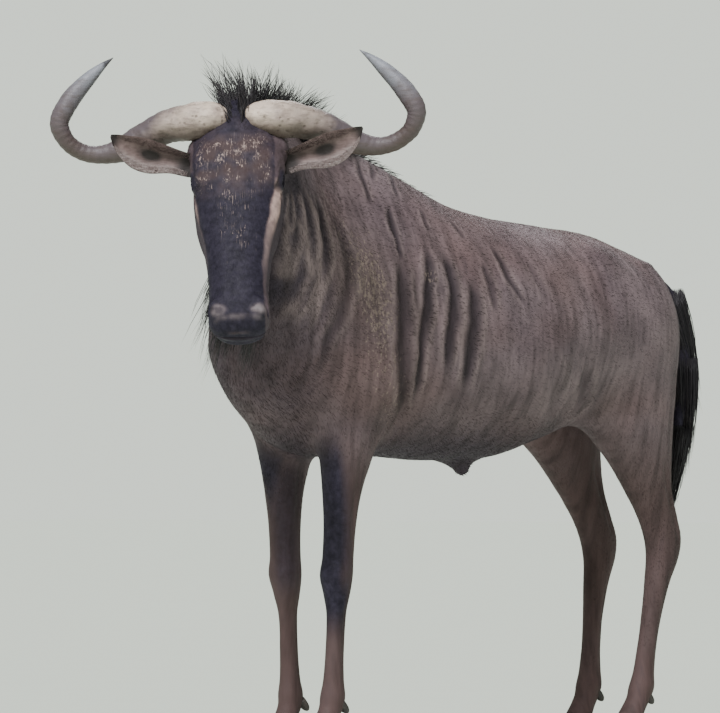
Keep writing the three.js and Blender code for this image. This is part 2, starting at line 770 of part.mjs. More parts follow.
let head = parts.head.subtract(headOpenings());
const headWhole = headFlesh(GAP).add(solid(loft(NECK_FRAME, NECK, 2, 20, GAP)));
for (const [side, out] of Object.entries(SIDES)) {
  const at = EYE_AT.map((value, k) => (k === 1 ? out * value : value));
  head = head.subtract(ball(HEAD, at, Array(3).fill(EYE_RADIUS + GAP), 10, 7));
  addNode(`eye_${side}`, ball(HEAD, at, Array(3).fill(EYE_RADIUS), 10, 7), 0x120c0a, 0.15);
  addNode(`horn_${side}`, largest(horn(out).subtract(headWhole)), HORN_COLOUR, 0.5);
  addNode(`ear_${side}`, largest(ear(out).subtract(headWhole).subtract(horn(out, GAP))), HIDE);
}
for (const [name, leg] of Object.entries(LEGS)) {
  const [limb, side] = name.split("leg_");
  const out = SIDES[side];
  addNode(name, parts[name], HIDE);
  addNode(`hoof_${limb}_${side}_outer`, hoof(leg, out), HOOF_COLOUR, 0.5);
  addNode(`hoof_${limb}_${side}_inner`, hoof(leg, -out), HOOF_COLOUR, 0.5);
}
addNode("head", largest(head), HIDE);
addNode("neck", parts.neck, HIDE);
addNode("torso", parts.torso, HIDE);
const torsoGrown = solid(loft(WORLD, TORSO, 2, 20, GAP));
const tailFree = [1, -1].reduce(
  (made, out) => made.subtract(ball(WORLD, [-940, out * 118, 900], [190 + GAP, 98, 260], 20, 14)),
  tailDock().subtract(torsoGrown),
);
addNode("tail", largest(tailFree), BLACK_HAIR);

// The origin is moved under the middle of the whole outline.
const box = new THREE.Box3().setFromObject(group);
const middle = box.getCenter(new THREE.Vector3());
group.children.forEach((node) => node.position.set(-middle.x, -middle.y, 0));

export default group;
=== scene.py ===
"""The looks of a blue wildebeest bull, life size, standing still with its head turned to its left.

Every shape is worked out in the row frame of the part: millimetres, +Z up, +X the way the trunk faces,
+Y the animal's left side, the ground at z = 0 and the forelegs' column at x = 0. `Place` moves a finished
piece by the same shift as the part's own solids and turns it into metres.
"""

from __future__ import annotations

import logging
import math
from dataclasses import dataclass, field
from enum import Enum
from typing import Callable, Sequence

import bpy
import numpy as np
from mathutils import Matrix, Vector

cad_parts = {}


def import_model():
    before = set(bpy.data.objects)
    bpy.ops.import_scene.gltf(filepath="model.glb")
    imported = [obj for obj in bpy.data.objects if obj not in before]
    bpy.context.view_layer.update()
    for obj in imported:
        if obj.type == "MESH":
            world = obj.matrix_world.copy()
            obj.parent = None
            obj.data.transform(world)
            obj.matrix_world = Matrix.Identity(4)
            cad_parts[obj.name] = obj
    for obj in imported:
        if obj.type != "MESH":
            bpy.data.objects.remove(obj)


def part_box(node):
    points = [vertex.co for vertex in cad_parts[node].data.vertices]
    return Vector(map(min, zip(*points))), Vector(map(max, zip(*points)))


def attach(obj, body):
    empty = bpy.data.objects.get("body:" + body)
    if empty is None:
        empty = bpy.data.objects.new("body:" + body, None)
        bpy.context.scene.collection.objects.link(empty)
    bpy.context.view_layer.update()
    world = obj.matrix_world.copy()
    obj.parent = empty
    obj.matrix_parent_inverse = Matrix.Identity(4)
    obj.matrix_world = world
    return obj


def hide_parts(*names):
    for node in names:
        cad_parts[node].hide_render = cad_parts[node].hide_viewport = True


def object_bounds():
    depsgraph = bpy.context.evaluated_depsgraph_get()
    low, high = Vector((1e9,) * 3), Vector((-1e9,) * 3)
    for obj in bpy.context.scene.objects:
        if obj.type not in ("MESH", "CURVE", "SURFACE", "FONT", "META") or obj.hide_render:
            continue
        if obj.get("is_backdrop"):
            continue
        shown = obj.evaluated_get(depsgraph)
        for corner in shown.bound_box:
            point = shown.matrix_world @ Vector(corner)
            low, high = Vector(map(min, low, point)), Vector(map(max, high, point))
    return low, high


log = logging.getLogger("wildebeest")

Array = np.ndarray
Object, Material = bpy.types.Object, bpy.types.Material
Node, Tree, Socket = bpy.types.Node, bpy.types.NodeTree, bpy.types.NodeSocket
Triple = tuple[float, float, float]
Rows = Sequence[Sequence[float]]

# Driving sizes, the same as the solids'.
HEAD_YAW = 41.0
HEAD_PITCH = 60.0
HEAD_ROLL = 1.8
POLL = (385, 135, 1366)
NECK_BASE = (70, 0, 1085)
NECK_END = (362, 120, 1321)
EYE_RADIUS = 18.0
EYE_AT = (161, 79, 34)
CORONET = 62.0
LEG_TOP = 860.0
GAP = 0.3
# Each leg: its kind, its track, its step forward at the ground, and where its toe is.
LEGS = {
    "foreleg_left": ("fore", 104, 62, 92),
    "foreleg_right": ("fore", -100, -36, 92),
    "hindleg_left": ("hind", 118, 95, -946),
    "hindleg_right": ("hind", -118, -10, -946),
}
SIDES = {"left": 1, "right": -1}
SEED = 20
# Further off than anything, in millimetres.
FAR = 1e3


def sections(*rows: tuple[float, ...]) -> Array:
    """A loft's sections, each with its middle on the frame's own plane.

    Args:
        rows: station, underside, widest level, top, half width and, unless they are 2, the powers of the
            section's upper and lower half.

    Returns:
        One row of eight each: station, side, the four sizes and the two powers.
    """
    return np.array([[row[0], 0, *row[1:5], *(row[5:] or (2, 2))] for row in rows], float)


TORSO = sections(
    (-1150, 895, 935, 985, 16), (-1132, 862, 940, 1030, 64), (-1085, 832, 952, 1070, 120),
    (-1010, 805, 962, 1113, 172), (-920, 775, 968, 1150, 208), (-820, 734, 965, 1173, 232, 2.1, 2),
    (-690, 690, 940, 1184, 248, 2.1, 2), (-520, 648, 915, 1200, 260, 2.1, 2.1),
    (-370, 642, 900, 1228, 252, 2, 2.1), (-230, 650, 895, 1285, 236, 1.8, 2),
    (-90, 652, 890, 1338, 216, 1.6, 1.9), (10, 650, 885, 1325, 202, 1.6, 1.8),
    (100, 668, 890, 1268, 185, 1.8, 1.65), (170, 724, 895, 1175, 160, 2, 1.65),
    (222, 792, 905, 1062, 110, 2, 1.8), (248, 862, 905, 955, 40),
)
NECK = sections(
    (-110, -190, 0, 225, 92), (-30, -262, -45, 282, 142, 1.7, 2), (30, -245, -48, 290, 150, 1.6, 2),
    (100, -204, -35, 262, 140, 1.6, 2), (180, -162, -15, 222, 128, 1.7, 2),
    (255, -128, 0, 188, 112, 1.8, 2), (325, -106, 8, 154, 101), (390, -90, 12, 120, 92),
    (445, -72, 14, 90, 76), (490, -30, 14, 55, 45),
)
SKULL = sections(
    (-58, -56, -19, 14, 39), (-23, -98, -23, 47, 74), (37, -122, -14, 68, 93, 2.2, 2),
    (94, -122, 5, 79, 100, 2.4, 2), (152, -112, 17, 80, 98, 2.4, 2), (205, -95, 8, 75, 97, 2.1, 2),
    (262, -74, 6, 70, 87, 2.2, 2.1), (320, -56, 5, 66, 75, 2.3, 2.2), (377, -44, 4, 62, 68, 2.4, 2.3),
    (424, -38, 2, 57, 65, 2.4, 2.4), (468, -37, 0, 52, 67, 2.4, 2.6), (499, -37, -2, 43, 66, 2.4, 2.6),
    (518, -32, -4, 26, 54, 2.2, 2.4), (528, -20, -5, 9, 29),
)
JAW = sections(
    (47, -131, -103, -65, 42), (80, -157, -105, -56, 62), (122, -161, -101, -47, 70, 2, 2.2),
    (168, -146, -94, -37, 68, 2, 2.2), (220, -122, -80, -28, 62), (281, -98, -65, -19, 57),
    (340, -84, -54, -10, 55, 2.2, 2), (398, -77, -47, -8, 57, 2.4, 2.2),
    (456, -76, -45, -8, 60, 2.4, 2.4), (486, -73, -43, -8, 57, 2.4, 2.4),
    (504, -68, -41, -12, 49, 2.2, 2.2), (518, -56, -36, -18, 31),
)
FORELEG = sections(
    (CORONET, -4, 30, 60, 33), (84, -16, 16, 46, 28), (108, -30, 4, 33, 27), (132, -33, 0, 30, 29),
    (165, -27, 0, 25, 25), (230, -24, 0, 23, 22), (310, -25, 2, 25, 23), (355, -30, 5, 34, 31, 2, 2.2),
    (395, -33, 8, 42, 37, 2.2, 2.2), (435, -34, 8, 40, 35, 2, 2.2), (500, -38, 6, 42, 36),
    (570, -46, 4, 48, 42), (640, -70, 0, 60, 50), (700, -95, 0, 76, 56), (780, -115, 8, 103, 62),
    (870, -110, 30, 128, 66), (980, -105, 20, 115, 62), (1080, -95, 0, 80, 45), (1150, -70, -20, 40, 22),
)
HINDLEG = sections(
    (CORONET, -1042, -1008, -978, 35), (84, -1056, -1022, -992, 30), (108, -1072, -1036, -1006, 29),
    (132, -1080, -1044, -1012, 31), (165, -1078, -1050, -1020, 26), (230, -1080, -1056, -1030, 24),
    (310, -1092, -1064, -1037, 26), (370, -1108, -1074, -1040, 30),
    (425, -1134, -1086, -1040, 35, 2, 1.8), (470, -1142, -1082, -1026, 35, 2, 1.7),
    (520, -1120, -1056, -998, 38, 2, 1.8), (580, -1090, -1018, -950, 45), (650, -1078, -975, -885, 58),
    (720, -1072, -935, -800, 71), (800, -1068, -908, -738, 81), (890, -1062, -905, -725, 86),
    (980, -1040, -915, -770, 76), (1050, -1000, -925, -850, 46), (1085, -980, -940, -900, 20),
)
# Points of the horns' middle line from the crown: outward, upward, forward, and radius.
HORN = [
    [20, 21, 44, 23], [44, 17, 46, 37], [86, 12, 44, 43], [130, 8, 32, 40], [174, -5, 14, 36],
    [214, -22, 0, 32], [250, -41, -8, 28], [285, -50, -12, 23], [316, -50, -12, 20.5],
    [346, -40, -10, 20], [370, -21, -6, 20], [383, 4, -2, 21.5], [385, 24, 0, 22.5], [375, 46, 0, 23],
    [353, 78, -4, 21.5], [320, 113, -10, 16.5], [291, 139, -16, 9], [266, 158, -22, 1.5],
]
# Sections of the ears: station, middle, half width, depth of the cup.
EAR = [
    [-16, 0, 20, 8], [0, -2, 25, 13], [42, -6, 28, 18], [84, -14, 36, 18], [120, -16, 36, 14],
    [150, -14, 27, 9], [174, -8, 15, 5], [188, -2, 4, 1],
]
# Points of the tail's dock: the three coordinates and the radius.
TAIL = [
    [-1080, 0, 1020, 28], [-1130, 4, 1050, 28], [-1178, 12, 1034, 30], [-1208, 21, 972, 31],
    [-1212, 32, 892, 31], [-1200, 40, 812, 30], [-1180, 44, 745, 27], [-1152, 46, 680, 23],
    [-1130, 46, 612, 17], [-1114, 45, 552, 11], [-1098, 43, 495, 4],
]
# A lock's profile: share of its length, breadth and thickness.
LOCK = [[0, 1, 0.42], [0.4, 0.95, 0.38], [0.75, 0.6, 0.26], [1, 0.05, 0.03]]
# The mane along its line: share of the way, length of its locks, slant.
MANE_LENGTHS = [
    [0, 88, 0.1], [0.12, 128, 0.25], [0.28, 130, 0.7], [0.5, 112, 1.25], [0.7, 96, 1.5], [0.85, 74, 1.6],
    [1, 48, 1.6],
]
# The beard along its line: share of the way, length of its locks, distance from the middle.
BEARD_LENGTHS = [
    [0, 290, 24], [0.15, 320, 32], [0.35, 280, 18], [0.55, 225, 20], [0.75, 185, 20], [1, 110, 12],
]
# Points of the sheath under the belly, and its radius at each.
SHEATH = np.array([[-470, 0, 670, 46], [-484, 0, 632, 19], [-490, 0, 614, 4]])
DOCK_STEPS = 18
# Points of the left nostril's slit in the head's frame, and its radius at each.
NOSTRIL = np.array(
    [[450, 37, 49, 4], [450, 50, 41, 7], [459, 58, 33, 9], [473, 61, 27, 8.5], [488, 60, 20, 5]]
)


def unit(v: Array) -> Array:
    """Each row of v made one long."""
    return v / np.maximum(np.linalg.norm(v, axis=-1, keepdims=True), 1e-12)


def turned(v: Array, axis: Array, degrees: float) -> Array:
    """v turned right-handed about a unit axis: v cos t + (axis x v) sin t + axis (axis . v)(1 - cos t)."""
    t = math.radians(degrees)
    return v * math.cos(t) + np.cross(axis, v) * math.sin(t) + axis * (axis @ v) * (1 - math.cos(t))


@dataclass(frozen=True)
class Frame:
    """An origin with three directions: along a piece, out to its side, and up from it."""

    origin: Array
    along: Array
    side: Array
    rise: Array

    @staticmethod
    def of(origin: Sequence[float], along: Array, rise: Array) -> Frame:
        """A frame whose side is rise x along, and whose rise is put square to both."""
        a = unit(np.asarray(along, float))
        side = unit(np.cross(rise, a))
        return Frame(np.asarray(origin, float), a, side, np.cross(a, side))

    def place(self, u: Array | float, v: Array | float, w: Array | float) -> Array:
        """The point at u along, v out and w up."""
        u, v, w = (np.asarray(q, float)[..., None] for q in (u, v, w))
        return self.origin + u * self.along + v * self.side + w * self.rise

    def on(self, point: Sequence[float | Array], out: int) -> Array:
        """A point given for the left side, there or, where out is -1, at its mirror image."""
        return self.place(point[0], out * point[1], point[2])

    def local(self, p: Array) -> tuple[Array, Array, Array]:
        """The u, v and w of points."""
        q = p - self.origin
        return q @ self.along, q @ self.side, q @ self.rise


UP = np.array([0.0, 0.0, 1.0])
LEFT = np.array([0.0, 1.0, 0.0])
LEVEL = np.array([math.cos(math.radians(HEAD_YAW)), math.sin(math.radians(HEAD_YAW)), 0.0])
CROWN = turned(UP, LEVEL, HEAD_ROLL)
POLL_LEVEL = Frame.of(POLL, LEVEL, CROWN)
NOSE = turned(LEVEL, POLL_LEVEL.side, HEAD_PITCH)
HEAD = Frame.of(POLL, NOSE, CROWN)
NECK_AXIS = unit(np.subtract(NECK_END, NECK_BASE).astype(float))
NECK_FRAME = Frame(
    np.array(NECK_BASE, float), NECK_AXIS, unit(np.cross(UP, NECK_AXIS)), unit(np.cross(NECK_AXIS, LEFT))
)
WORLD = Frame(np.zeros(3), np.array([1.0, 0, 0]), LEFT, UP)


def row_at(rows: Array, station: Array | float) -> Array:
    """Rows at stations, on the cubic whose slope at each row is that of the line through its neighbours."""
    rows = np.asarray(rows, float)
    s = np.atleast_1d(np.asarray(station, float))
    i = np.clip(np.searchsorted(rows[:, 0], s, side="left") - 1, 0, len(rows) - 2)
    a, b = rows[i], rows[i + 1]
    before, after = rows[np.maximum(i - 1, 0)], rows[np.minimum(i + 2, len(rows) - 1)]
    span = (b[:, 0] - a[:, 0])[:, None]
    t = ((s - a[:, 0])[:, None]) / span
    leave = (b - before) / (b[:, :1] - before[:, :1]) * span
    arrive = (after - a) / (after[:, :1] - a[:, :1]) * span
    out = (
        (2 * t**3 - 3 * t**2 + 1) * a
        + (t**3 - 2 * t**2 + t) * leave
        + (3 * t**2 - 2 * t**3) * b
        + (t**3 - t**2) * arrive
    )
    return out if np.ndim(station) else out[0]


def spread(rows: Rows, steps: int) -> Array:
    """Rows at steps + 1 even places in the list."""
    numbered = np.column_stack([np.arange(len(rows)), np.asarray(rows, float)])
    return row_at(numbered, np.linspace(0, len(rows) - 1, steps + 1))[:, 1:]


def smooth(x: Array, low: float, high: float) -> Array:
    """0 below low, 1 above high, and 3t^2 - 2t^3 between."""
    t = np.clip((x - low) / (high - low), 0, 1)
    return t * t * (3 - 2 * t)


def until(x: Array, low: float, high: float) -> Array:
    """1 below low, 0 above high, and smooth between."""
    return 1 - smooth(x, low, high)


def bell(x: Array, width: Array | float) -> Array:
    """e^(-(x / width)^2)."""
    return np.exp(-((x / width) ** 2))


def blot(x: Array, wide: float, y: Array, tall: float) -> Array:
    """A bell in two directions: e^(-(x / wide)^2 - (y / tall)^2)."""
    return np.exp(-((x / wide) ** 2) - ((y / tall) ** 2))


def around(sides: int, ahead: float = 0.0) -> Array:
    """Even angles round a ring, each turned ahead by a share of the step."""
    return 2 * math.pi * (np.arange(sides) + ahead) / sides


def to_segment(p: Array, a: Array, b: Array) -> tuple[Array, Array]:
    """For each of p, the share of the way from a to b where it is nearest, and its distance from there."""
    ab = b - a
    t = np.clip(((p - a) @ ab) / (ab @ ab), 0, 1)
    return t, np.linalg.norm(p - a - t[:, None] * ab, axis=1)


def hashed(i: Array, j: Array, k: Array, seed: int) -> Array:
    """A repeatable number from 0 to 1 for each lattice point."""
    h = (i * 374761393 + j * 668265263 + k * 2147483647 + seed * 1442695041) & 0xFFFFFFFF
    h = ((h ^ (h >> 13)) * 1274126177) & 0xFFFFFFFF
    h = ((h ^ (h >> 16)) * 2246822519) & 0xFFFFFFFF
    return ((h ^ (h >> 15)) & 0xFFFFFF) / float(0xFFFFFF)


def noise(p: Array, scale: float, seed: int = 0) -> Array:
    """Smooth noise from -1 to 1: lattice numbers mixed by 3t^2 - 2t^3 in each direction."""
    q = p / scale
    base = np.floor(q).astype(np.int64)
    t = q - base
    t = t * t * (3 - 2 * t)
    out = np.zeros(len(p))
    for dx in (0, 1):
        for dy in (0, 1):
            for dz in (0, 1):
                w = (t[:, 0] if dx else 1 - t[:, 0]) * (t[:, 1] if dy else 1 - t[:, 1])
                w = w * (t[:, 2] if dz else 1 - t[:, 2])
                out += w * hashed(base[:, 0] + dx, base[:, 1] + dy, base[:, 2] + dz, seed)
    return 2 * out - 1


# The flesh as a field.
class Solid:
    """A shape that gives a rough signed distance, negative inside."""

    low: Array
    high: Array

    def distance(self, p: Array) -> Array:
        """Rough signed distance of points, in millimetres."""
        raise NotImplementedError


class Loft(Solid):
    """A body whose sections are superellipses with their own upper and lower half.

    With x = |v - side| / half, y = |w - wide| / height and r = (x^n + y^n)^(1/n), the distance is
    (r - 1) over the length of r's slope, and past an end it is joined with the way to that end. The rows
    are worked out beforehand at FINE stations.
    """

    FINE = 300

    def __init__(self, at: Frame, rows: Rows, shrink: float = 0.0) -> None:
        """Args: at is the frame, rows the sections, shrink how far the skin lies inside them."""
        self.at = at
        rows = np.asarray(rows, float)
        self.ends = (rows[0, 0], rows[-1, 0])
        self.stations = np.linspace(*self.ends, self.FINE)
        self.table = row_at(rows, self.stations)
        self.shrink = shrink
        station, side, under, _, top, half = self.table.T[:6]
        edges = [at.place(station, side + out * half, level) for out in (-1, 1) for level in (under, top)]
        corners = np.concatenate(edges)
        self.low, self.high = corners.min(0), corners.max(0)

    def distance(self, p: Array) -> Array:
        u, v, w = self.at.local(p)
        s = np.clip(u, *self.ends)
        side, low, wide, high, half, above, below = (np.interp(s, self.stations, c) for c in self.table.T[1:])
        top = w > wide
        height = np.where(top, high - wide, wide - low)
        n = np.where(top, above, below)
        x = np.abs(v - side) / half + 1e-4
        y = np.abs(w - wide) / height + 1e-4
        r = (x**n + y**n) ** (1 / n)
        slope = np.hypot((x / r) ** (n - 1) / half, (y / r) ** (n - 1) / height)
        d = (r - 1) / slope
        past = np.maximum(self.ends[0] - u, u - self.ends[1])
        return np.where(past > 0, np.hypot(np.maximum(d, 0), past), np.maximum(d, past)) + self.shrink


class Ball(Solid):
    """An ellipsoid with half lengths along a frame's own directions: distance = (r - 1) r / |slope|."""

    def __init__(self, at: Frame, centre: Triple, half: Triple, shrink: float = 0.0) -> None:
        """Args: centre and half are in the frame's directions."""
        self.at = Frame(at.place(*centre), at.along, at.side, at.rise)
        self.half = np.asarray(half, float)
        self.shrink = shrink
        reach = np.abs(np.stack([at.along, at.side, at.rise])).T @ self.half
        self.low, self.high = self.at.origin - reach, self.at.origin + reach

    def distance(self, p: Array) -> Array:
        q = np.stack(self.at.local(p), -1) / self.half
        r = np.linalg.norm(q, axis=1) + 1e-6
        return (r - 1) * r / (np.linalg.norm(q / self.half, axis=1) + 1e-9) + self.shrink


class Tube(Solid):
    """A round tube along points, each with its radius."""

    def __init__(self, points: Array, radii: Array, shrink: float = 0.0) -> None:
        """Args: points is n x 3, radii is n."""
        self.points, self.radii, self.shrink = np.asarray(points, float), np.asarray(radii, float), shrink
        big = self.radii.max()
        self.low, self.high = self.points.min(0) - big, self.points.max(0) + big

    @staticmethod
    def of(rows: Array, shrink: float = 0.0) -> Tube:
        """A tube from rows of three coordinates and a radius."""
        return Tube(rows[:, :3], rows[:, 3], shrink)

    def distance(self, p: Array) -> Array:
        best = np.full(len(p), FAR)
        for a, b, ra, rb in zip(self.points[:-1], self.points[1:], self.radii[:-1], self.radii[1:]):
            t, off = to_segment(p, a, b)
            best = np.minimum(best, off - (ra + (rb - ra) * t))
        return best + self.shrink


def soft_min(a: Array, b: Array, k: float) -> Array:
    """The smaller of two distances, rounded over k: min - h^2 k / 4 with h = max(k - |a - b|, 0) / k."""
    h = np.maximum(k - np.abs(a - b), 0) / k
    return np.minimum(a, b) - h * h * k / 4


class Flesh:
    """The whole animal's flesh: shapes joined one after another, then cut by hollows and grooves.

    MARGIN is how far from a shape it still counts, CUT the same for a hollow, OUTSIDE the distance where
    nothing is near, THROAT the rounding between head and body, and FACE how far out the grooves are felt.
    """

    MARGIN, CUT = 45.0, 12.0
    OUTSIDE = 120.0
    THROAT = 34.0
    FACE = 25

    def __init__(self) -> None:
        self.head_parts: list[tuple[Solid, float]] = []
        self.body_parts: list[tuple[Solid, float]] = []
        self.hollows: list[tuple[Solid, float]] = []

    @staticmethod
    def _near(shape: Solid, p: Array, margin: float) -> Array:
        return np.all((p > shape.low - margin) & (p < shape.high + margin), axis=1)

    def _joined(self, parts: list[tuple[Solid, float]], p: Array) -> Array:
        out = np.full(len(p), self.OUTSIDE)
        for shape, k in parts:
            near = np.flatnonzero(self._near(shape, p, self.MARGIN + k))
            if len(near):
                out[near] = soft_min(out[near], shape.distance(p[near]), k)
        return out

    def head_distance(self, p: Array) -> Array:
        """Signed distance to the head alone."""
        return self._joined(self.head_parts, p)

    def __call__(self, p: Array) -> Array:
        """Signed distance to the flesh."""
        head = self.head_distance(p)
        out = soft_min(self._joined(self.body_parts, p), head, self.THROAT)
        for shape, k in self.hollows:
            near = np.flatnonzero(self._near(shape, p, self.CUT))
            if len(near):
                out[near] = -soft_min(-out[near], shape.distance(p[near]), k)
        near = np.flatnonzero(head < self.FACE)
        if len(near):
            out[near] += head_grooves(p[near])
        return out


def mouth_level(u: Array) -> Array:
    """How high the mouth line lies at stations of the head: it rises towards the front."""
    return -37 + 27 * smooth(u, 430, 525)


def beside(u: Array, v: Array, w: Array, points: Array) -> Array:
    """Distance in the head's frame to a line of points and to its mirror image."""
    q = np.stack([u, np.abs(v), w], -1)
    best = np.full(len(q), FAR)
    for a, b in zip(points[:-1], points[1:]):
        best = np.minimum(best, to_segment(q, a, b)[1])
    return best


def head_grooves(p: Array) -> Array:
    """How deep the head's grooves are: the mouth, its corners, the upper lip's middle and the lids."""
    u, v, w = HEAD.local(p)
    side = np.abs(v)
    out = 7.5 * bell(w - mouth_level(u), 2.9) * smooth(u, 376, 402)
    out += 2.0 * bell(v, 3.2) * smooth(u, 488, 508) * smooth(w, 0, 8)
    out += 1.4 * bell(w - mouth_level(u) - 11, 3.5) * smooth(u, 470, 505)
    out += 1.5 * bell(np.hypot(u - 470, (side - 26) * 1.5), 13) * (w > 20)
    du, dv, dw = u - EYE_AT[0], side - EYE_AT[1], w - EYE_AT[2]
    near = (dv > -16) * (dv < 34)
    ring = np.hypot(du / 1.28, dw + 1.5)
    out += 2.6 * bell(ring - 24.5, 2.8) * near
    out += 1.5 * bell(ring - 32.5, 3.2) * near * (dw > 0)
    slit = np.hypot((du - 38) / 2.6, dw + 14 + 0.25 * (du - 38))
    out += 4.2 * bell(slit, 5.5) * (dv > -30)
    return out


def leg_rows(leg: tuple[str, float, float, float]) -> Array:
    """A leg's sections, each moved forward by step x (1 - height / LEG_TOP)."""
    kind, _, step, _ = leg
    rows = np.array(FORELEG if kind == "fore" else HINDLEG, float)
    rows[:, 2:5] += (step * np.maximum(0, 1 - rows[:, 0] / LEG_TOP))[:, None]
    return rows


def leg_frame(track: float) -> Frame:
    """A leg's frame: up, left and forward of its foot."""
    return Frame(np.array([0.0, track, 0.0]), UP, LEFT, np.array([1.0, 0, 0]))


def build_flesh() -> Flesh:
    """The animal's flesh, inside the solids by the depth of its coat.

    Each shape goes with the width over which it is rounded into what is there before it.
    """
    flesh = Flesh()
    body = flesh.body_parts
    body.append((Loft(WORLD, TORSO, 5.0), 1.0))
    body.append((Loft(NECK_FRAME, NECK, 5.0), 70.0))
    for leg in LEGS.values():
        body.append((Loft(leg_frame(leg[1]), leg_rows(leg), 2.5), 42.0 if leg[0] == "fore" else 60.0))
    body.append((Tube.of(SHEATH, 2.0), 30.0))
    body.append((Tube.of(spread(TAIL, DOCK_STEPS)[:14] * np.array([1, 1, 1, 0.62]), 2.0), 24.0))
    head = flesh.head_parts
    head.append((Loft(HEAD, SKULL, 1.8), 1.0))
    head.append((Loft(HEAD, JAW, 2.2), 14.0))
    for out in SIDES.values():
        swellings = (
            ((122, 52, -80), (70, 26, 50), 2.5, 30.0),
            ((66, 84, 4), (30, 27, 30), 2.0, 20.0),
            ((128, 58, 34), (58, 40, 40), 2.0, 22.0),
            (EYE_AT, (25, 22, 20.5), 0.0, 9.0),
            ((480, 43, 23), (24, 20, 24.5), 1.0, 10.0),
            ((469, 48, 38), (15, 9, 8), 0.0, 5.0),
            ((230, 66, -10), (80, 22, 10), 1.0, 20.0),
            ((150, 74, 56), (34, 16, 10), 0.0, 14.0),
        )
        for centre, half, shrink, k in swellings:
            head.append((Ball(HEAD, (centre[0], out * centre[1], centre[2]), half, shrink), k))
        eye = Frame(HEAD.on(EYE_AT, out), HEAD.along, HEAD.side * out, HEAD.rise)
        flesh.hollows.append((Ball(eye, (0.5, 14, 0.5), (16.0, 14, 8.6)), 2.5))
        flesh.hollows.append((Tube(HEAD.on(NOSTRIL.T, out), NOSTRIL[:, 3]), 2.5))
    return flesh


# The skin's mesh.
def graded(*runs: tuple[float, float, float]) -> Array:
    """Grid stations from runs of (start, end, step), one after another."""
    out = [np.array([runs[0][0]])]
    for start, end, step in runs:
        count = max(1, int(round((end - start) / step)))
        out.append(np.linspace(start, end, count + 1)[1:])
    return np.concatenate(out)


